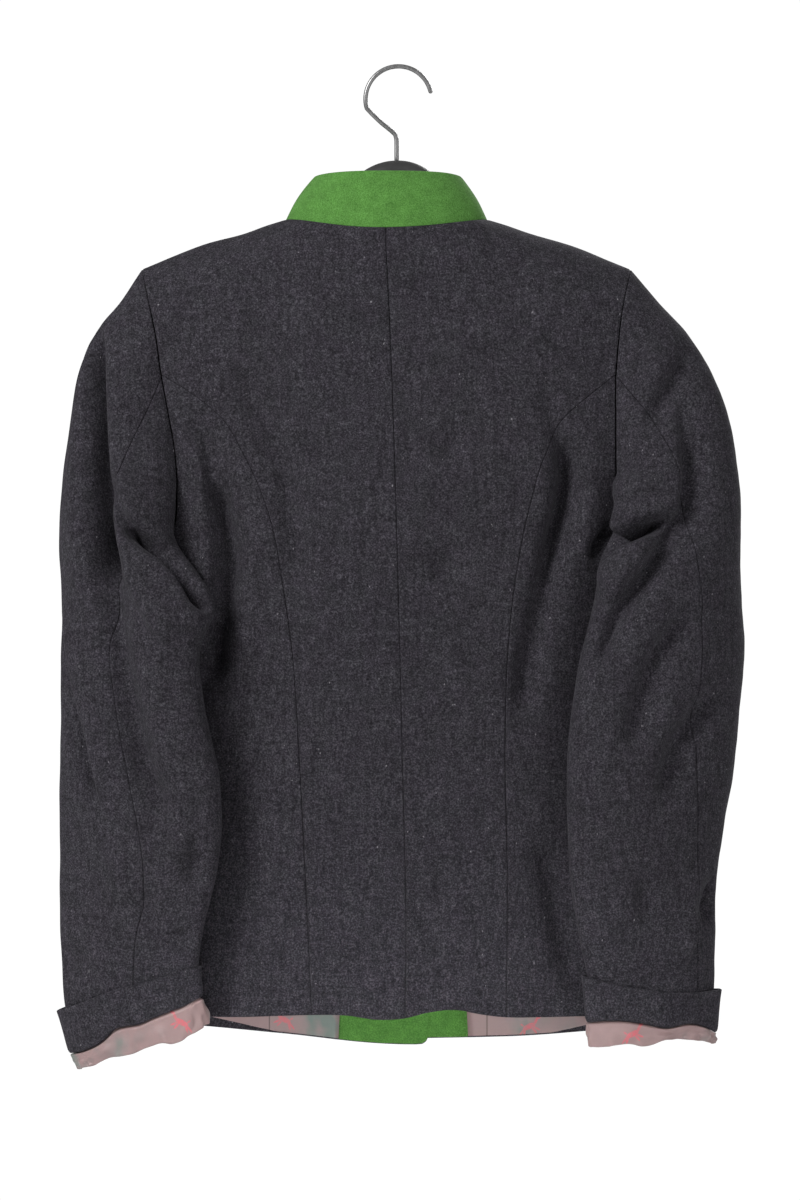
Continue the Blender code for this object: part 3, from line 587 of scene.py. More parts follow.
def fold_height(folds, x, z):
    """The cloth's move out of its smooth face, from ridges and troughs that may lean to one side."""
    move = np.zeros(np.shape(x))
    for amount, left, right, route in folds:
        nearest = np.full(np.shape(x), 1e9)
        beside = np.zeros(np.shape(x))
        way = np.zeros(np.shape(x))
        whole = 0.0
        for (x0, z0), (x1, z1) in zip(route, route[1:]):
            long = math.hypot(x1 - x0, z1 - z0)
            t = np.clip(((x - x0) * (x1 - x0) + (z - z0) * (z1 - z0)) / long**2, 0, 1)
            away = np.hypot(x - x0 - t * (x1 - x0), z - z0 - t * (z1 - z0))
            turned = (x - x0) * -(z1 - z0) + (z - z0) * (x1 - x0)
            beside = np.where(away < nearest, turned / long, beside)
            way = np.where(away < nearest, whole + t * long, way)
            nearest = np.minimum(nearest, away)
            whole += long
        width = left + (right - left) * smooth(-4, 4, beside)
        ends = min(FOLD_ENDS * (left + right) / 2, 0.4 * whole)
        fade = smooth(0, ends, way) * smooth(0, ends, whole - way)
        move = move + amount * fade * np.exp(-((nearest / width) ** 2))
    return move


def normals(face, u, v, du, dv):
    """Unit normals of a face given as a function of two numbers, by small steps each way."""
    across = face(u + du, v) - face(u - du, v)
    up = face(u, v + dv) - face(u, v - dv)
    return unit(np.cross(across, up))


def body_face(angle, rise):
    """Points of the jacket's outer face and its outward normals, with its folds."""
    points = body_point(angle, rise)
    out = normals(body_point, angle, rise, 0.004, 0.6)
    back = np.clip(np.cos(angle) * 4, 0, 1)
    return points, out, fold_height(BODY_FOLDS, points[..., 0], points[..., 2]) * back


def angle_at(across, rise, front=False):
    """The angle where the body's face is that far across from its centre line."""
    ratio = np.clip(across / BODY.read("half", level_of(rise)), -1, 1)
    angle = np.arcsin(ratio)
    return np.where(front, np.sign(across) * math.pi - angle, angle)


def armhole_angle(side, rise, front):
    """Where the armhole crosses a level, as an angle on the body's face."""
    level = level_of(rise)
    height = level + neck_drop(ARMHOLE_OUT, True) * smooth(TILT_START, TOP, level)
    column = "front" if front else "back_" + SIDES[side]
    return angle_at(side * ARMHOLE.read(column, height), rise, front)


def hem_shift(angle, rise, side):
    """How far a row near the hem moves down, so that the last one follows the hem."""
    turned = np.abs(angle) * 180 / math.pi
    drop = HEM.read(SIDES[side], turned) - HEM_LEVEL
    return drop * smooth(HEM_LEVEL + HEM_BLEND, HEM_LEVEL, rise)


def front_top(across):
    """The neckline's level on the front, scooped to the centre."""
    share = np.clip(1 - (across / NECK_HALF) ** 2, 0, 1)
    level = TOP - NECK_SCOOP * share**NECK_CURVE
    ratio = np.clip((level - ROUND_START) / ROUND, -1, 1)
    return np.where(level < ROUND_START, level, ROUND_START + ROUND * np.arcsin(ratio))


def set_under(side, across):
    """How far the underlapping left front lies inside the right one."""
    if side > 0:
        return np.zeros(np.shape(across))
    return UNDERLAP_SET * smooth(LAP_FROM, LAP_FULL, across)


def front_edge(side):
    """How far across the closing edge lies, past the centre front."""
    return FRONT_EDGE_LINE - side * OVERLAP


def front_angle(side, x, rise):
    """The angle of a place on the front, running on past the centre for the closing edge."""
    angle = angle_at(x - BODY.read("centre", level_of(rise)), rise, True)
    return np.where(side * angle < 0, angle + side * 2 * math.pi, angle)


def armhole_loop(backs, side_backs, fronts, side):
    """The armhole's edge from the shoulder tip down the back to the underarm and up the front.

    It gives the points, the body's normals there, and which point is the underarm.
    """
    joined = []
    for kind in (0, 1):
        down = (np.flip(backs[side][kind], 0), np.flip(side_backs[side][kind], 0))
        joined.append(np.concatenate(down + (fronts[side][kind][1:],)))
    underarm = len(backs[side][0]) + len(side_backs[side][0]) - 1
    return joined[0], joined[1], underarm


def sample_loop(points, out, under, columns):
    """Reads the armhole loop evenly: the back half to the underarm, then the front half."""
    ways = []
    for first, last in ((0, under), (under, len(points) - 1)):
        part = points[first : last + 1]
        steps = way_along(part)
        low, high = (0, UNDER_TURN) if first == 0 else (UNDER_TURN, 2 * math.pi)
        ways.append(low + steps / steps[-1] * (high - low))
    way = np.concatenate((ways[0], ways[1][1:]))
    angles = np.mod(columns, 2 * math.pi)
    loop = np.stack([np.interp(angles, way, points[:, k]) for k in range(3)], -1)
    body_out = unit(np.stack([np.interp(angles, way, out[:, k]) for k in range(3)], -1))
    return loop, body_out


def sleeve_ring(side, around, height):
    """A point of the hanging sleeve: around is 0 at the outer edge and turns by the camera's side."""
    table = SLEEVES[side]
    outer = table.read("outer", height)
    inner = table.read("inner", height)
    half = np.abs(outer - inner) / 2
    middle = (outer + inner) / 2
    away = np.sin(around)
    deep = np.where(away > 0, table.read("near", height), table.read("far", height)) * away
    out = half * np.cos(around)
    y = table.read("middle", height) + SHEAR * out - deep
    x = middle + side * out
    return np.stack([x, y, height + table.read("tilt", height) * side * out], -1)


def clear_body(points, clear, soft):
    """Moves points that lie in the body out to its face, with a smooth change."""
    x, y, z = points[..., 0], points[..., 1], points[..., 2]
    side = BODY.read("side", z)
    out = (x - BODY.read("centre", z)) / (BODY.read("half", z) + clear)
    deep = np.where(y < side, side - BODY.read("back", z), BODY.read("front", z) - side) + clear
    away = (y - side) / deep
    reach = np.hypot(out, away / (1 + SQUARE * np.clip(out, -1, 1) ** 2))
    wanted = 1 + soft * np.logaddexp(0, (reach - 1) / soft)
    scale = 1 + (wanted / np.maximum(reach, 0.2) - 1) * smooth(*CLEAR_START, z)
    across = BODY.read("centre", z) + out * scale * (BODY.read("half", z) + clear)
    return np.stack([across, side + away * scale * deep, z], -1)


class Sleeve:
    """A set-in sleeve: along runs from 0 at the armhole over 1 at the underarm to 2 at the end."""

    def __init__(self, side, loop):
        self.side = side
        self.points, self.out, self.under = loop

    def start(self, around):
        """Points on the sleeve's seam, just clear of the armhole's edge."""
        loop, out = sample_loop(self.points, self.out, self.under, around)
        after, _ = sample_loop(self.points, self.out, self.under, around + 0.05)
        before, _ = sample_loop(self.points, self.out, self.under, around - 0.05)
        into = unit(np.cross(after - before, out))
        middle = self.points.mean(axis=0)
        into = into * np.where(np.sum(into * (middle - loop), -1) < 0, -1.0, 1.0)[..., None]
        low = np.clip(np.cos(around - UNDER_TURN), 0, 1)[..., None]
        return loop + into * ARMHOLE_GAP + out * (ARMHOLE_GAP + UNDERARM_CLEAR * low)

    def face(self, around, along):
        around, along = np.broadcast_arrays(around, along)
        begin = self.start(around)
        t = np.clip(along, 0, 1)
        top = begin[..., 2]
        height = np.where(
            along < 1, top + (CAP_END - top) * t, CAP_END + (SLEEVE_END - CAP_END) * (along - 1)
        )
        ring = sleeve_ring(self.side, around, height)
        ease = np.where(along < 1, 1 - np.sin(t * math.pi / 2), 0)[..., None]
        points = ring + (begin - sleeve_ring(self.side, around, top)) * ease
        start = smooth(0.0, CLEAR_FULL, along)
        near = smooth(*UNDERARM_ENDS, along)
        low = np.clip(np.cos(around - UNDER_TURN), 0, 1) * near
        clear = LOW_CLEAR + (BODY_CLEAR - LOW_CLEAR) * near
        soft, more = CLEAR_SOFT
        return clear_body(points, ARMHOLE_GAP + UNDERARM_CLEAR * low + clear * start, soft + more * start)

    def wall(self, around, along):
        """Outer points, outward normals and the fold's move."""
        points = self.face(around, along)
        out = normals(self.face, around, along, 0.09, 0.03) * self.side
        near = np.clip(np.sin(around) * 2.5, 0, 1) * smooth(0.0, 0.05, along) * smooth(*FOLD_FADE, along)
        fold = fold_height(SLEEVE_FOLDS[self.side], points[..., 0], points[..., 2]) * near
        return points, out, fold


def spread(width, edges=(True, True), cell=CELL, fine=None):
    """Shares across a piece, even but for a few close to each edge, where its rim is rounded.

    fine is a first share, a last share and how many times closer the shares lie between them.
    """
    shares = np.linspace(0, 1, max(4, int(round(width / cell))) + 1)
    if fine is not None:
        low, high, times = fine
        closer = np.linspace(low, high, int((high - low) * width / cell * times) + 1)
        shares = np.concatenate([shares[(shares < low) | (shares > high)], closer])
    close = np.array(RIM) / width
    if edges[0]:
        shares = np.concatenate([shares, close])
    if edges[1]:
        shares = np.concatenate([shares, 1 - close])
    return np.unique(np.round(shares, 6))


def way_from_edges(points, axis):
    """How far each point of a grid lies from the nearer of the two edges along an axis."""
    step = np.linalg.norm(np.diff(points, axis=axis), axis=-1)
    pad = [(1, 0) if a == axis else (0, 0) for a in range(2)]
    way = np.pad(np.cumsum(step, axis=axis), pad)
    whole = np.take(way, [-1], axis=axis)
    return np.minimum(way, whole - way)


def ripple(points, size, seed):
    """Soft unevenness of hanging cloth: a few waves of random direction, up to about size high."""
    random = np.random.default_rng(seed)
    move = np.zeros(points.shape[:-1])
    for wave in (90, 60, 45, 34, 26, 20, 16):
        way = unit(random.normal(size=3))
        move = move + wave / 90 * np.sin(points @ way * 2 * math.pi / wave + random.uniform(0, 6.28))
    return move * size / 2


def new_object(name, data):
    made = bpy.data.objects.new(name, data)
    bpy.context.collection.objects.link(made)
    return made


def make_piece(name, points, faces, look, nodes):
    """A piece that stands for some solids, which it hides, with the material of its look."""
    mesh = bpy.data.meshes.new(name)
    mesh.from_pydata((points * MM).tolist(), [], faces)
    shape = bmesh.new()
    shape.from_mesh(mesh)
    bmesh.ops.recalc_face_normals(shape, faces=shape.faces)
    shape.to_mesh(mesh)
    shape.free()
    mesh.polygons.foreach_set("use_smooth", [True] * len(mesh.polygons))
    piece = new_object(name, mesh)
    mesh.materials.append(LOOKS[look]())
    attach(piece, "root")
    if nodes:
        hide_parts(*nodes)
    return piece


def make_round(name, rings, look, nodes):
    """A closed piece from rings of points, with a flat face at each end."""
    rows, columns = rings.shape[:2]
    faces = grid_faces(rows, columns, 0, False, True)
    faces += [list(range(columns)), [rows * columns - 1 - i for i in range(columns)]]
    return make_piece(name, rings.reshape(-1, 3), faces, look, nodes)


def grid_faces(rows, columns, first, turned, closed):
    """Quads of a grid of points, as lists of point numbers."""
    r, c = np.meshgrid(np.arange(rows - 1), np.arange(columns if closed else columns - 1), indexing="ij")
    d = (c + 1) % columns
    quads = np.stack([r * columns + c, r * columns + d, (r + 1) * columns + d, (r + 1) * columns + c], -1)
    quads = quads.reshape(-1, 4) + first
    return (quads[:, ::-1] if turned else quads).tolist()


def rim_faces(rows, columns, count, closed):
    faces = []
    last = columns if closed else columns - 1
    for r, turned in ((0, False), (rows - 1, True)):
        for c in range(last):
            a, b = r * columns + c, r * columns + (c + 1) % columns
            rim = [a, count + a, count + b, b]
            faces.append(rim[::-1] if turned else rim)
    if not closed:
        for c, turned in ((0, False), (columns - 1, True)):
            for r in range(rows - 1):
                a, b = r * columns + c, (r + 1) * columns + c
                rim = [a, b, count + b, count + a]
                faces.append(rim[::-1] if turned else rim)
    return faces


def cloth(name, outer, out, thick, look, nodes, closed=False):
    """A cloth wall with rounded rims from a grid of its outer points and their normals."""
    rows, columns = outer.shape[:2]
    near = way_from_edges(outer, 0)
    if not closed:
        near = np.minimum(near, way_from_edges(outer, 1))
    near = np.minimum(near / RIM_WIDE / thick, 1)
    bend = (1 - np.sqrt(1 - (1 - near) ** 2))[..., None]
    face = outer - out * thick * RIM_FACE * bend
    back = outer - out * thick * (1 - RIM_BACK * bend)
    points = np.concatenate([face.reshape(-1, 3), back.reshape(-1, 3)])
    count = rows * columns
    faces = grid_faces(rows, columns, 0, False, closed) + grid_faces(rows, columns, count, True, closed)
    faces += rim_faces(rows, columns, count, closed)
    piece = make_piece(name, points, faces, look, nodes)
    declare(outer, closed)


def declare(outer, closed):
    """The flat size of the cut, all round on a tube, measured along the cloth; it is worked out but not
    kept or given anywhere.
    """
    ring = np.concatenate([outer, outer[:, :1]], 1) if closed else outer
    across = np.linalg.norm(np.diff(ring, axis=1), axis=-1)
    down = np.linalg.norm(np.diff(ring, axis=0), axis=-1)
    width = across.sum(axis=1).max() * MM
    length = down.sum(axis=0).max() * MM
    area = (across[:-1] + across[1:]) / 2 * (down[:, :-1] + down[:, 1:]) / 2
    area = min(max(area.sum() * MM * MM, 0.3 * width * length), width * length)


def body_cloth(name, angles, rises, look, nodes, thick=WOOL, start=0.0, set_in=None):
    """A panel of the body from grids of angle and rise, start under the jacket's outer face."""
    points, out, fold = body_face(angles, rises)
    depth = fold + ripple(points, RIPPLE, 3) - start
    if set_in is not None:
        depth = depth - set_in
    outer = points + out * depth[..., None]
    cloth(name, outer, out, thick, look, nodes)
    return outer, out


def with_levels(rises, *levels):
    """Rows with a few named levels put in, in place of those that lie too close."""
    kept = [r for r in rises if min(abs(r - level) for level in levels) > 0.8]
    return np.array(sorted(kept + list(levels)))


def back_grid(side, angles, rises):
    """The rise of each point of a back panel, moved down to the hem's curve and its slight waves."""
    grid = np.repeat(rises[:, None], angles.shape[1], 1)
    drop = BACK_WAVE.read("drop", body_point(angles, grid)[..., 0])
    return grid + hem_shift(angles, grid, side) + drop * smooth(HEM_LEVEL + WAVE_BLEND, HEM_LEVEL, grid)


def seam_angle(table, column, rises):
    """The angle of a seam whose x is given at any height."""
    return angle_at(table.read(column, rises) - BODY.read("centre", level_of(rises)), rises)


def build_backs():
    rises = HEM_LEVEL + (RISE_TOP - HEM_LEVEL) * spread(RISE_TOP - HEM_LEVEL)
    rises = with_levels(rises, APEX)
    edges = {}
    for side, word in SIDES.items():
        first = seam_angle(CENTRE_BACK, "x", rises)
        line = seam_angle(PRINCESS, word, rises)
        last = np.where(rises <= APEX, line, armhole_angle(side, rises, False))
        angles = first[:, None] + (last - first)[:, None] * spread(PANEL_WIDE * 1.7)[None, :]
        grid = back_grid(side, angles, rises)
        name = "back_" + word
        outer, out = body_cloth(name + "_wool", angles, grid, "wool", [name])
        top = rises >= APEX
        edges[side] = (outer[top, -1], out[top, -1])
    return edges


def side_angle(side, rises, front):
    """The angle of the side seam, and of the armhole above the underarm."""
    seam = side * math.pi / 2 * np.ones(len(rises))
    return np.where(rises <= UNDERARM, seam, armhole_angle(side, rises, front))


def columns_between(first, last, shares, rises):
    """Angles across a panel whose last edge turns sharply at the underarm: only the columns close
    to that edge follow the turn."""
    apart = rises[:, None] - rises[None, :]
    closeness = np.exp(-((apart / EDGE_BLUR) ** 2)) * np.gradient(rises)[None, :]
    soft = closeness @ last / closeness.sum(axis=1)
    past = rises - UNDERARM
    about = smooth(*BLUR_ABOVE, past) * smooth(*BLUR_UNDER, -past)
    soft = last + (soft - last) * about
    return first[:, None] + (soft - first)[:, None] * shares + (last - soft)[:, None] * shares**4


def build_side_backs():
    edges = {}
    rises = HEM_LEVEL + (APEX - HEM_LEVEL) * spread(APEX - HEM_LEVEL, (True, False), 2.2)
    rises = with_levels(rises[:-1], UNDERARM, UNDERARM + 2, UNDERARM + 5, APEX - 1.5, APEX - 0.3)
    for side, word in SIDES.items():
        first = seam_angle(PRINCESS, word, rises)
        last = side_angle(side, rises, False)
        angles = columns_between(first, last, spread(PANEL_WIDE * 1.3, cell=2.0)[None, :], rises)
        grid = back_grid(side, angles, rises)
        name = "side_back_" + word
        outer, out = body_cloth(name + "_wool", angles, grid, "wool", [name])
        arm = rises >= UNDERARM
        edges[side] = (outer[arm, -1], out[arm, -1])
    return edges


def front_lines(side):
    """Places across a front, from its closing edge over the neck point to the armhole."""
    edge = front_edge(side) - SHOULDER_CENTRE
    neck = side * NECK_HALF
    arm = side * (ARMHOLE_OUT - 1)
    inner = edge + (neck - edge) * spread(abs(neck - edge), (True, False), FRONT_CELL)
    outer = neck + (arm - neck) * spread(abs(arm - neck), (False, True), FRONT_CELL)
    return np.concatenate([inner, outer[1:-1]])


def build_fronts():
    """The fronts with their facings and linings, made from the same points."""
    edges = {}
    rises = HEM_LEVEL + (RISE_TOP - HEM_LEVEL) * spread(RISE_TOP - HEM_LEVEL, cell=FRONT_CELL)
    rises = with_levels(rises, UNDERARM, UNDERARM + 2, UNDERARM + 5)
    for side, name in SIDES.items():
        last = side_angle(side, rises, True)
        lines = front_lines(side)
        reach = np.where(np.abs(lines) < NECK_HALF, front_top(lines), rises[-1])
        start = front_angle(side, lines[0] + SHOULDER_CENTRE, reach)
        wanted = front_angle(side, lines + SHOULDER_CENTRE, reach)
        shares = np.append((wanted - start) / (last[-1] - start), 1.0)
        shares[0] = 0.0
        reach = np.append(reach, rises[-1])
        share_up = (rises - HEM_LEVEL) / (rises[-1] - HEM_LEVEL)
        grid = HEM_LEVEL + (reach - HEM_LEVEL)[None, :] * share_up[:, None]
        first = front_angle(side, front_edge(side), grid[:, 0])
        angles = columns_between(first, last, shares[None, :], rises)
        across = body_point(angles, grid)[..., 0]
        from_edge = np.clip(np.abs(across - front_edge(side)), 0, CORNER)
        lift = CORNER - np.sqrt(CORNER**2 - (CORNER - from_edge) ** 2)
        lift = lift * smooth(HEM_LEVEL + CORNER_BLEND, HEM_LEVEL, grid)
        grid = grid + hem_shift(angles, grid, side) + lift
        deep = set_under(side, across)
        outer, out = body_cloth("front_" + name + "_wool", angles, grid, "wool", ["front_" + name],
                                set_in=deep)
        arm = rises >= UNDERARM
        edges[side] = (outer[arm, -1], out[arm, -1])
        under = int(np.argmin(np.abs(across[0, :-1] - FACING_HEM[side])))
        build_front_insides(side, angles, grid, deep, under, rises)
    return edges


def build_front_insides(side, angles, grid, deep, under, rises):
    """The green facing along the closing edge, and the lining beside it."""
    name = SIDES[side]
    rise = grid[:, : under + 1].copy()
    rise[:4] = rise[:4] + FACING_SHORT
    body_cloth("facing_" + name + "_felt", angles[:, : under + 1], rise, "felt", ["facing_" + name],
               FACING, WOOL + INSIDE_GAP, deep[:, : under + 1])
    rows = rises <= UNDERARM
    rise = grid[rows, under:].copy()
    low = smooth(HEM_LEVEL + WAVE_BLEND, HEM_LEVEL, rise)
    start, end, tall = LINING_WEDGE[side]
    out = np.abs(body_point(angles[rows, under:], rise)[..., 0])
    rise = rise + (LINING_SHORT + tall * np.clip((out - start) / (end - start), 0, 1.2)) * low
    body_cloth("front_lining_" + name + "_cloth", angles[rows, under:], rise, "lining",
               ["front_lining_" + name], LINING, WOOL + INSIDE_GAP,
               deep[rows, under:])


def build_sleeve(side, loop):
    sleeve = Sleeve(side, loop)
    along = 2 * spread(SLEEVE_LONG, fine=SLEEVE_FINE)
    heights = np.interp(along, (0, 1, 2), (CAP_TOP, CAP_END, SLEEVE_END))
    elbow = np.radians(SLEEVES[side].read("elbow", heights))
    front = math.radians(FRONT_SEAM)
    for name, first, last, shares in (
        ("upper_sleeve_", (front - 2 * math.pi) * np.ones(len(along)), elbow, spread(200, fine=UPPER_FINE)),
        ("under_sleeve_", elbow, front * np.ones(len(along)), spread(130, cell=1.6)),
    ):
        around = first[:, None] + (last - first)[:, None] * shares[None, :]
        grid = np.repeat(along[:, None], len(shares), 1)
        points, out, fold = sleeve.wall(around, grid)
        fold = fold + ripple(points, RIPPLE, 5 + side) * smooth(0, 0.1, grid)
        outer = points + out * fold[..., None]
        cloth(name + SIDES[side] + "_wool", outer, out, WOOL, "wool", [name + SIDES[side]])


def cuff_point(side, around, level, grow):
    """A point of the turned-up cuff (level 0 at its top edge, 1 at the bottom) and of the lining
    that hangs out of it (down to level 2)."""
    table = CUFFS[side]
    share = (np.cos(around) + 1) / 2
    top, bottom, hem = (table.read(column, share) for column in ("top", "bottom", "lining"))
    z = np.where(level < 1, top + (bottom - top) * level, bottom + (hem - bottom) * (level - 1))
    inner, outer = (np.interp(level, (0, 1, 2), ends) for ends in CUFF_ENDS[side])
    out = np.abs(outer - inner) / 2 * np.cos(around)
    middle = (outer + inner) / 2
    x = middle + side * out * (1 + grow / (np.abs(outer - inner) / 2))
    y = CUFF_MIDDLE + SHEAR * out - (CUFF_DEEP + grow) * np.sin(around)
    return np.stack([x, y, z], -1)


def ring_normals(points, side):
    along = np.roll(points, -1, 1) - np.roll(points, 1, 1)
    return unit(np.cross(along, np.gradient(points, axis=0))) * side


def build_cuff(side):
    """The turned-up cuff: its cloth runs down outside, round the sleeve's end and up inside."""
    name = SIDES[side]
    seam = math.radians(CUFF_SEAM[side])
    around = full_turn(CUFF_COLUMNS)
    around = around[np.abs(around - seam) > 0.03]
    around = np.unique(np.concatenate([around, seam + np.array(CUFF_SEAM_CELLS)]))
    sunk, wide = CUFF_GROOVE
    groove = sunk * np.exp(-(((around - seam) / wide) ** 2))
    rows = []
    for level, grow in CUFF_PROFILE:
        stand = grow + CUFF_WAVE * np.sin(3 * around + side) * (1 - level) - groove * (grow > -1)
        rows.append(cuff_point(side, around, level * np.ones(around.shape), stand))
    outer = np.array(rows)
    cloth("cuff_" + name + "_wool", outer, ring_normals(outer, side), CUFF_THICK, "wool",
          ["cuff_" + name], True)
    levels = np.concatenate([np.linspace(0.25, 1.0, 8)[:-1], np.linspace(1.0, 2.0, 26)])
    level, ring = np.meshgrid(levels, around, indexing="ij")
    low = smooth(0.8, 1.7, level)
    grow = CUFF_INSIDE * (smooth(0.98, 1.12, level) - 1) + low * lining_rumple(side, ring, level)
    points = cuff_point(side, ring, level, grow)
    cloth("cuff_lining_" + name + "_cloth", points, ring_normals(points, side), LINING, "lining",
          ["cuff_lining_" + name], True)


def lining_rumple(side, around, level):
    """Pleats and bulges of the sleeve lining where it hangs out of the cuff."""
    move = np.zeros(np.shape(around))
    for waves, size, lean, phase in RUMPLE:
        move = move + size * np.sin(waves * around + lean * level + phase * (2 + side))
    out, middle, wide = LINING_BULGE
    return move + out * np.exp(-(((level - middle) / wide) ** 2)) - out


def neck_line():
    """The jacket's neckline from the left closing edge round the back to the right one."""
    half = np.linspace(0, NECK_HALF, 44)
    back_rise = RISE_TOP - GAP / 2
    left_back = body_point(angle_at(-half, back_rise), back_rise)
    right_back = body_point(angle_at(half, back_rise), back_rise)
    fronts = {}
    for side in (-1, 1):
        across = side * np.linspace(NECK_HALF - 1.4, -2.0, 50)
        across = across[side * (across + SHOULDER_CENTRE) > side * (FRONT_EDGE_LINE + side * 2.0)]
        reach = front_top(across)
        fronts[side] = body_point(front_angle(side, across + SHOULDER_CENTRE, reach), reach)
    return np.concatenate([fronts[-1][::-1], left_back[::-1], right_back[1:], fronts[1]])


def build_collar():
    """The stand collar, leaning in, soft at its corners and parted at the centre front."""
    foot = neck_line()
    back = np.clip(-foot[:, 1] / NECK_BEHIND, 0, 1)
    front = np.clip(foot[:, 1] / NECK_BEFORE, 0, 1)
    top = np.stack([
        SHOULDER_CENTRE + 1.0 + (foot[:, 0] - SHOULDER_CENTRE) * COLLAR_WIDE,
        foot[:, 1] * COLLAR_DEEP + 1.0,
        foot[:, 2] + COLLAR_TALL + COLLAR_BACK * back**1.5 + COLLAR_FRONT * front,
    ], -1)
    way = way_along(foot)
    ends = np.minimum(np.minimum(way, way[-1] - way), COLLAR_CORNER)
    top[:, 2] -= COLLAR_CORNER - np.sqrt(COLLAR_CORNER**2 - (COLLAR_CORNER - ends) ** 2)
    shares = spread(COLLAR_SPAN, cell=2.0)[:, None, None]
    outer = foot[None] + (top - foot)[None] * shares
    sunk = foot + unit((foot - [SHOULDER_CENTRE, 0, 0]) * [1, 1, 0]) * -COLLAR_SET + [0, 0, -COLLAR_SINK]
    outer = np.concatenate([sunk[None], outer])
    shares = np.concatenate([[[[0.0]]], shares])
    belly = np.sin(np.clip(shares, 0, 1) * math.pi) * COLLAR_BELLY
    out = unit(np.cross(np.gradient(outer, axis=1), np.gradient(outer, axis=0)))
    outer = outer + out * (belly + 0.5 * ripple(outer, RIPPLE, 9)[..., None])
    cloth("collar_felt", outer, out, COLLAR_THICK, "felt", ["collar"])


def build_hanger():
    """The bar of the hanger: oval sections under the shoulders, rising to a low dome."""
    left, right = HANGER_NECK
    xs = np.concatenate([
        HANGER_ENDS[0] + 6 * np.array((0, 0.06, 0.2, 0.45, 0.8)),
        np.linspace(HANGER_ENDS[0] + 7, HANGER_ENDS[1] - 7, 110),
        HANGER_ENDS[1] - 6 * np.array((0.8, 0.45, 0.2, 0.06, 0)),
    ])
    arms = SHOULDER.read("height", np.abs(xs - SHOULDER_CENTRE)) - WOOL - GAP - HANGER_CLEAR
    top = np.where((xs < left) | (xs > right), arms, HANGER_TOP.read("height", xs))
    ends = np.minimum(xs - HANGER_ENDS[0], HANGER_ENDS[1] - xs)
    taper = np.sqrt(np.clip(1 - (1 - np.clip(ends / HANGER_ROUND, 0, 1)) ** 2, 0.0025, 1))
    swell = np.exp(-(((xs + 1) / DOME_WIDE) ** 2))
    turns = full_turn(32)
    tall, deep = (half + more * swell for half, more in zip(HANGER_HALF, HANGER_DOME))
    y = (deep * taper)[:, None] * np.sin(turns)[None, :]
    z = (top - tall)[:, None] + (tall * taper)[:, None] * np.cos(turns)[None, :]
    rings = np.stack([np.repeat(xs[:, None], len(turns), 1), y, z], -1)
    make_round("hanger_bar", rings, "hanger", ["hanger"])


def tube(route, radius, sides=20):
    """Rings of a round wire along a route in the X-Z plane, with rounded ends."""
    way = unit(np.gradient(route, axis=0))
    across = np.stack([-way[:, 1], way[:, 0]], -1)
    start = [route[0] - way[0] * radius * s for s in (1.0, 0.8, 0.5)]
    end = [route[-1] + way[-1] * radius * s for s in (0.5, 0.8, 1.0)]
    middles = np.array(start + list(route) + end)
    beside = np.array([across[0]] * 3 + list(across) + [across[-1]] * 3)
    wide = radius * np.array([0.05, 0.6, 0.87] + [1.0] * len(route) + [0.87, 0.6, 0.05])[:, None]
    turns = full_turn(sides)[None, :]
    flat = middles[:, None] + beside[:, None] * (wide * np.cos(turns))[..., None]
    return np.stack([flat[..., 0], wide * np.sin(turns), flat[..., 1]], -1)


def build_hook():
    turns = np.radians(np.linspace(*HOOK_ARC, 60))
    arc = HOOK_CENTRE + HOOK_RADIUS * np.stack([np.cos(turns), np.sin(turns)], -1)
    stem = np.array(HOOK_STEM)
    keys = np.arange(len(stem))
    at = np.linspace(0, len(stem) - 1, 40)
    stem = np.stack([np.interp(at, keys, stem[:, 0]), np.interp(at, keys, stem[:, 1])], -1)
    for _ in range(3):
        stem[1:-1] = (stem[:-2] + 2 * stem[1:-1] + stem[2:]) / 4
    make_round("hook_wire", tube(np.concatenate([arc, stem]), WIRE), "hook", ["hook"])


def circle(middle, radius, first, second, count):
    """A ring of points round a middle, in the plane of two directions."""
    turns = full_turn(count)
    return middle + radius * (np.outer(np.cos(turns), first) + np.outer(np.sin(turns), second))


def build_buttons():
    """Turned horn buttons with a rounded edge and crossed threads, down the closing edge."""
    for i in range(BUTTONS):
        height = BUTTON_TOP - BUTTON_STEP * i
        angle = float(front_angle(1, FRONT_EDGE_LINE, np.array(height)))
        point, out, _ = body_face(np.array([angle]), np.array([height]))
        out = out[0] * (1.0 if out[0][1] > 0 else -1.0)
        right = unit(np.cross(out, [0, 0, 1.0]))
        up = np.cross(right, out)
        foot = point[0] + out * BUTTON_LIFT
        rings = [
            circle(foot + out * rise * BUTTON_THICK, BUTTON_RADIUS * wide, right, up, 48)
            for rise, wide in BUTTON_RINGS
        ]
        name = "button_" + str(i + 1)
        button = make_round(name + "_horn", np.array(rings), "button", [name])
        for k, way in enumerate((right + up, right - up)):
            thread = build_thread(button.name + "_thread_" + str(k + 1), foot + out * THREAD_FOOT, out, way)
            thread.parent = button


def build_thread(name, middle, out, way):
    """A stitch of sewing thread, arched over the middle of a button."""
    line = np.linspace(middle - unit(way) * THREAD_HALF, middle + unit(way) * THREAD_HALF, 9)
    line = line + out * (np.sin(np.linspace(0, math.pi, 9)) * THREAD_ARCH)[:, None]
    beside = unit(np.cross(way, out))
    rings = [circle(point, THREAD_RADIUS, beside, out, 10) for point in line]
    return make_round(name, np.array(rings), "thread", [])


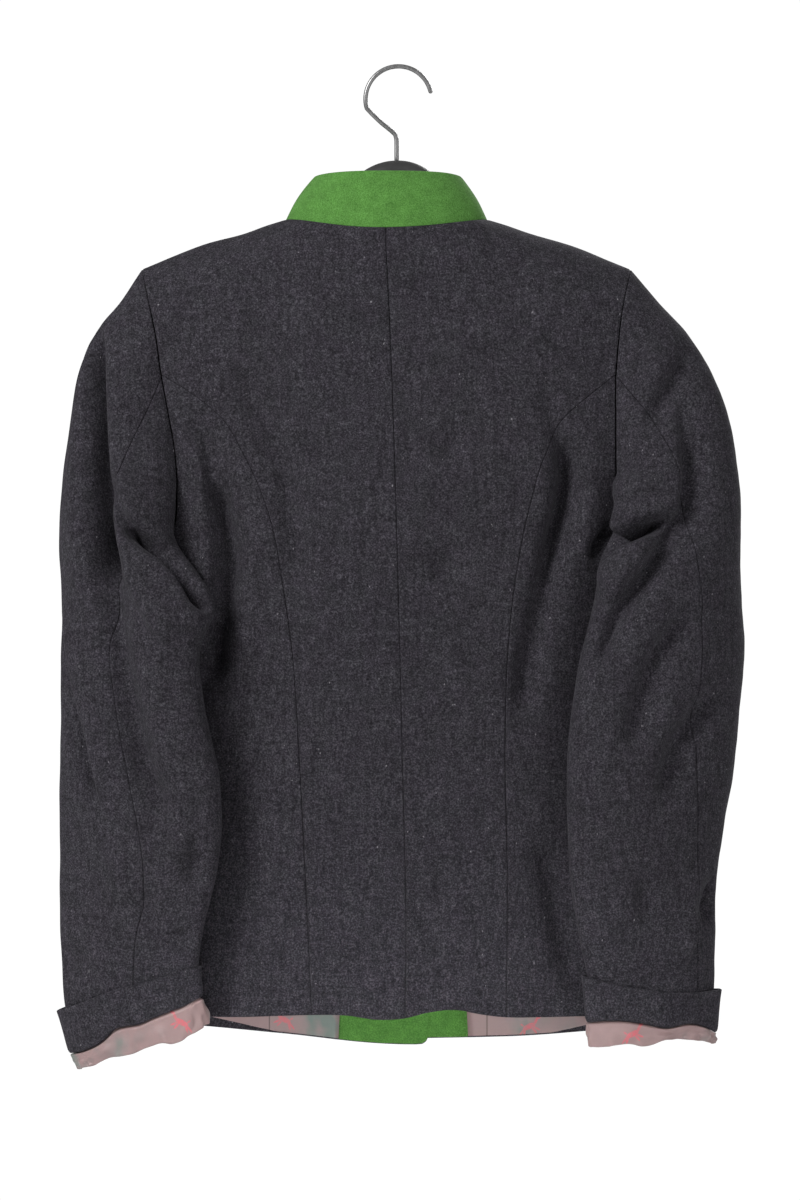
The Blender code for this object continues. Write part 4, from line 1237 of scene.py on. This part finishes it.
class Look:
    """A Principled material, with short ways to add its nodes."""

    def __init__(self, name, colour, rough, specular=0.5, sheen=None):
        self.made = bpy.data.materials.new(name)
        self.made.use_nodes = True
        self.made.diffuse_color = (*colour, 1)
        self.tree = self.made.node_tree
        self.surface = self.tree.nodes["Principled BSDF"].inputs
        self.paint(Base_Color=colour, Roughness=rough)
        self.surface["Specular IOR Level"].default_value = specular
        if sheen is not None:
            weight, sheen_rough, tint = sheen
            self.surface["Sheen Weight"].default_value = weight
            self.surface["Sheen Roughness"].default_value = sheen_rough
            self.surface["Sheen Tint"].default_value = (*tint, 1)

    def feed(self, socket, value):
        """Links an output to a socket, or sets it to a number or a colour."""
        if isinstance(value, bpy.types.NodeSocket):
            self.tree.links.new(value, socket)
        else:
            socket.default_value = (*value, 1) if isinstance(value, tuple) else value

    def paint(self, **values):
        for name, value in values.items():
            self.feed(self.surface[name.replace("_", " ")], value)

    def add(self, kind, sockets, **settings):
        made = self.tree.nodes.new(kind)
        for name, value in settings.items():
            setattr(made, name, value)
        for name, value in sockets.items():
            self.feed(made.inputs[name], value)
        return made

    def place(self, scale=(1, 1, 1)):
        """The jacket's own coordinates, in metres, stretched where the grain is."""
        coords = self.add("ShaderNodeTexCoord", {})
        mapping = self.add("ShaderNodeMapping", {"Vector": coords.outputs["Object"]})
        mapping.inputs["Scale"].default_value = scale
        return mapping.outputs["Vector"]

    def noise(self, scale, detail=2.0, rough=0.6, stretch=(1, 1, 1)):
        sockets = {"Vector": self.place(stretch), "Scale": scale, "Detail": detail, "Roughness": rough}
        return self.add("ShaderNodeTexNoise", sockets).outputs["Fac"]

    def threads(self, direction, scale, wobble=0.0):
        sockets = {"Vector": self.place(), "Scale": scale, "Distortion": wobble}
        return self.add("ShaderNodeTexWave", sockets, wave_type="BANDS", bands_direction=direction).outputs

    def ramp(self, value, *stops):
        """Colours or greys along a value, each as a place and a colour or a number."""
        made = self.add("ShaderNodeValToRGB", {"Fac": value})
        marks = made.color_ramp.elements
        while len(marks) < len(stops):
            marks.new(0.5)
        for mark, (at, colour) in zip(marks, stops):
            mark.position = at
            mark.color = (*colour, 1) if isinstance(colour, tuple) else (colour, colour, colour, 1)
        return made.outputs["Color"]

    def mix(self, how, share, a, b):
        settings = {"data_type": "RGBA", "blend_type": how}
        return self.add("ShaderNodeMix", {0: share, 6: a, 7: b}, **settings).outputs[2]

    def darken(self, colour, *shades):
        for shade in shades:
            colour = self.mix("MULTIPLY", 1.0, colour, shade)
        return colour

    def work_out(self, how, a, b=0.0, c=0.0):
        return self.add("ShaderNodeMath", {0: a, 1: b, 2: c}, operation=how).outputs[0]

    def plus(self, a, b):
        return self.work_out("ADD", a, b)

    def minus(self, a, b):
        return self.work_out("SUBTRACT", a, b)

    def times(self, a, b):
        return self.work_out("MULTIPLY", a, b)

    def within(self, value, step):
        """How far a value lies past the middle of the step that it is in."""
        return self.minus(self.work_out("FLOORED_MODULO", value, step), step / 2)

    def bump(self, height, strength, distance):
        made = self.add("ShaderNodeBump", {"Height": height, "Strength": strength, "Distance": distance})
        self.paint(Normal=made.outputs["Normal"])


@cache
def wool_look():
    """Charcoal flannel: dark and light fibres matted together, a soft nap and a little lint."""
    look = Look("wool_flannel", WOOL_MEAN, 0.95, 0.15, (0.03, 0.6, (0.8, 0.8, 0.86)))
    fleck = look.ramp(look.noise(760, 3.0, 0.7), (0.32, WOOL_DARK), (0.5, WOOL_MEAN), (0.7, WOOL_LIGHT))
    cloud = look.ramp(look.noise(230, 3.0, 0.65), (0.3, 0.72), (0.7, 1.28))
    tone = look.ramp(look.noise(75, 2.0, 0.5), (0.35, (0.98, 0.96, 1.0)), (0.65, (0.97, 1.0, 0.99)))
    warp = look.ramp(look.noise(300, 2.0, 0.6, (1, 1, 0.16)), (0.35, 0.84), (0.65, 1.18))
    weft = look.ramp(look.noise(260, 2.0, 0.6, (0.2, 0.2, 1)), (0.35, 0.9), (0.65, 1.12))
    lint = look.ramp(look.noise(420, 1.0, 0.4, (1, 1, 0.6)), (0.778, 0.0), (0.82, 1.0))
    colour = look.darken(fleck, cloud, tone, warp, weft)
    look.paint(Base_Color=look.mix("MIX", look.times(lint, 0.7), colour, LINT))
    look.bump(look.plus(look.noise(900, 3.0, 0.75), look.noise(260)), 0.55, 0.0006)
    return look.made


@cache
def felt_look():
    """Green loden felt: a dense mat of short fibres with soft mottling."""
    look = Look("green_felt", FELT_MEAN, 0.95, 0.1, (0.12, 0.55, (0.75, 1.0, 0.6)))
    fibre = look.ramp(look.noise(1100, 3.0, 0.7), (0.3, FELT_DARK), (0.5, FELT_MEAN), (0.72, FELT_LIGHT))
    cloud = look.ramp(look.noise(130, 3.0), (0.3, 0.86), (0.7, 1.12))
    look.paint(Base_Color=look.darken(fibre, cloud))
    look.bump(look.plus(look.noise(1300, 3.0, 0.8), look.noise(300)), 0.4, 0.0004)
    return look.made


def motif_oval(look, across, up, centre, half, lean):
    """1 inside a leaning oval of the motif, 0 outside."""
    c, s = math.cos(lean), math.sin(lean)
    long, wide = half[0] * MOTIF_SIZE, half[1] * MOTIF_SIZE
    x = look.minus(across, centre[0] * MOTIF_SIZE)
    z = look.minus(up, centre[1] * MOTIF_SIZE)
    along = look.plus(look.times(x, c / long), look.times(z, s / long))
    beside = look.minus(look.times(z, c / wide), look.times(x, s / wide))
    reach = look.plus(look.times(along, along), look.times(beside, beside))
    return look.work_out("LESS_THAN", reach, 1.0)


def motif_mask(look, x, z):
    """1 inside the motifs: rows of them on each side of the middle, every other row half a step on."""
    wide, tall = MOTIF_STEP
    away = look.minus(look.work_out("ABSOLUTE", look.minus(x, MOTIF_MIDDLE)), MOTIF_AT[0])
    lean = look.plus(look.times(away, MOTIF_LEAN[0]), look.times(x, MOTIF_LEAN[1]))
    level = look.minus(look.minus(z, lean), MOTIF_AT[1] - tall / 2)
    row = look.work_out("FLOOR", look.work_out("DIVIDE", level, tall))
    across = look.plus(look.plus(away, look.times(row, wide / 2)), wide / 2)
    across, up = look.within(across, wide), look.within(level, tall)
    inside = 0.0
    for oval in MOTIF:
        inside = look.work_out("MAXIMUM", inside, motif_oval(look, across, up, *oval))
    return inside


@cache
def lining_look():
    """Shot lining: taupe pink one way of the weave and grey green the other, with a small motif, and
    painted shade along its seams.
    """
    look = Look("shot_lining", LINING_PINK, 0.45, 0.4, (0.2, 0.3, (0.7, 0.85, 0.75)))
    shot = look.noise(26, 3.0, 0.6, (1, 1, 0.6))
    colour = look.ramp(shot, (0.36, LINING_GREEN), (0.44, LINING_MEAN), (0.53, LINING_PINK))
    thread = look.threads("Z", 900, 0.4)
    colour = look.mix("MULTIPLY", 0.25, colour, thread["Color"])
    parts = look.add("ShaderNodeSeparateXYZ", {"Vector": look.place()}).outputs
    frayed = look.ramp(look.noise(500), (0.3, 0.45), (0.6, 1.0))
    red = look.times(look.times(motif_mask(look, parts["X"], parts["Z"]), frayed), 0.85)
    colour = look.mix("MIX", red, colour, MOTIF_RED)
    # Painted shade: a thin darker line down each lining seam stands in for the shade in the seam's groove
    seam_shade = [look.work_out("COMPARE", parts["X"], at, LINING_SEAM_SHADE_HALF) for at in LINING_SEAM_SHADE_X]
    colour = look.mix("MULTIPLY", look.plus(*seam_shade), colour, (0.45, 0.45, 0.45))
    look.paint(Base_Color=colour)
    look.bump(look.plus(look.times(thread["Fac"], 0.4), look.noise(700)), 0.25, 0.0002)
    return look.made


@cache
def hook_look():
    """Dark bare wire with fine drawing marks along it."""
    look = Look("hook_metal", HOOK_TONE, 0.35)
    marks = look.noise(420, 3.0, 0.6, (1, 1, 0.12))
    look.paint(Base_Color=look.ramp(marks, (0.3, 0.19), (0.7, 0.28)))
    look.paint(Roughness=look.ramp(marks, (0.3, 0.26), (0.7, 0.42)), Metallic=0.7)
    look.bump(marks, 0.1, 0.0001)
    return look.made


@cache
def hanger_look():
    """Black moulded plastic with a fine satin grain."""
    look = Look("hanger_plastic", HANGER_TONE, 0.42)
    grain = look.noise(900, 2.0, 0.5)
    look.paint(Base_Color=look.ramp(look.noise(60), (0.3, 0.03), (0.7, 0.045)))
    look.paint(Roughness=look.ramp(grain, (0.3, 0.36), (0.7, 0.5)))
    look.bump(grain, 0.12, 0.00008)
    return look.made


@cache
def button_look():
    """Dark mottled horn with a satin polish."""
    look = Look("button_horn", BUTTON_TONE, 0.35)
    streak = look.noise(110, 4.0, 0.65, (1, 1, 2.4))
    look.paint(Base_Color=look.ramp(streak, (0.35, BUTTON_DARK), (0.6, BUTTON_MEAN), (0.75, BUTTON_LIGHT)))
    look.bump(look.noise(600), 0.08, 0.0001)
    return look.made


@cache
def thread_look():
    look = Look("button_thread", THREAD_TONE, 0.8)
    twist = look.threads("DIAGONAL", 900)["Fac"]
    look.paint(Base_Color=look.ramp(twist, (0.2, THREAD_DARK), (0.8, THREAD_LIGHT)))
    return look.made


@cache
def floor_look():
    """The pale studio floor."""
    look = Look("studio_floor", FLOOR_TONE, 0.9, 0.1)
    look.paint(Base_Color=look.ramp(look.noise(3), (0.3, 0.80), (0.7, 0.83)))
    return look.made


LOOKS = {
    "wool": wool_look,
    "felt": felt_look,
    "lining": lining_look,
    "hook": hook_look,
    "hanger": hanger_look,
    "button": button_look,
    "thread": thread_look,
}


def area_light(name, place_at, aim, size, power, wide):
    data = bpy.data.lights.new(name, "AREA")
    data.shape = "DISK"
    data.size = size
    data.energy = power
    data.spread = math.radians(wide)
    light = new_object(name, data)
    light.location = place_at
    way = mathutils.Vector(aim) - mathutils.Vector(place_at)
    light.rotation_euler = way.to_track_quat("-Z", "Y").to_euler()


def build_stage():
    """A pale floor, white surroundings and soft lights, with the camera square to the back."""
    mesh = bpy.data.meshes.new("floor")
    low, high = FLOOR_NEAR, FLOOR_FAR
    mesh.from_pydata([(-4, low, FLOOR_Z), (4, low, FLOOR_Z), (4, high, FLOOR_Z), (-4, high, FLOOR_Z)], [],
                     [(0, 1, 2, 3)])
    floor = new_object("floor", mesh)
    mesh.materials.append(floor_look())
    world = bpy.data.worlds.new("studio")
    bpy.context.scene.world = world
    world.use_nodes = True
    tree = world.node_tree
    lit = tree.nodes["Background"]
    lit.inputs["Color"].default_value = SKY_TINT
    lit.inputs["Strength"].default_value = SKY
    seen = tree.nodes.new("ShaderNodeBackground")
    seen.inputs["Color"].default_value = (1, 1, 1, 1)
    seen.inputs["Strength"].default_value = SEEN_SKY
    path = tree.nodes.new("ShaderNodeLightPath")
    both = tree.nodes.new("ShaderNodeMixShader")
    tree.links.new(path.outputs["Is Camera Ray"], both.inputs[0])
    tree.links.new(lit.outputs[0], both.inputs[1])
    tree.links.new(seen.outputs[0], both.inputs[2])
    tree.links.new(both.outputs[0], tree.nodes["World Output"].inputs["Surface"])
    for name, place_at, size, power, wide in LIGHTS:
        area_light(name, place_at, LIGHT_AIM, size, power, wide)
    area_light("hem_light", *HEM_LIGHT)
    data = bpy.data.cameras.new("camera")
    data.sensor_width = SENSOR
    data.lens = SENSOR * CAMERA_AWAY / VIEW_TALL
    data.clip_end = 100
    camera = new_object("camera", data)
    camera.location = (CAMERA_X, -CAMERA_AWAY - BACK_PLANE, CAMERA_Z)
    camera.rotation_euler = (math.pi / 2, 0, 0)
    scene = bpy.context.scene
    scene.camera = camera
    scene.view_settings.view_transform = "Standard"


def main():
    backs = build_backs()
    side_backs = build_side_backs()
    fronts = build_fronts()
    for side in (-1, 1):
        build_sleeve(side, armhole_loop(backs, side_backs, fronts, side))
        build_cuff(side)
    build_collar()
    build_hanger()
    build_hook()
    build_buttons()
    build_stage()


main()
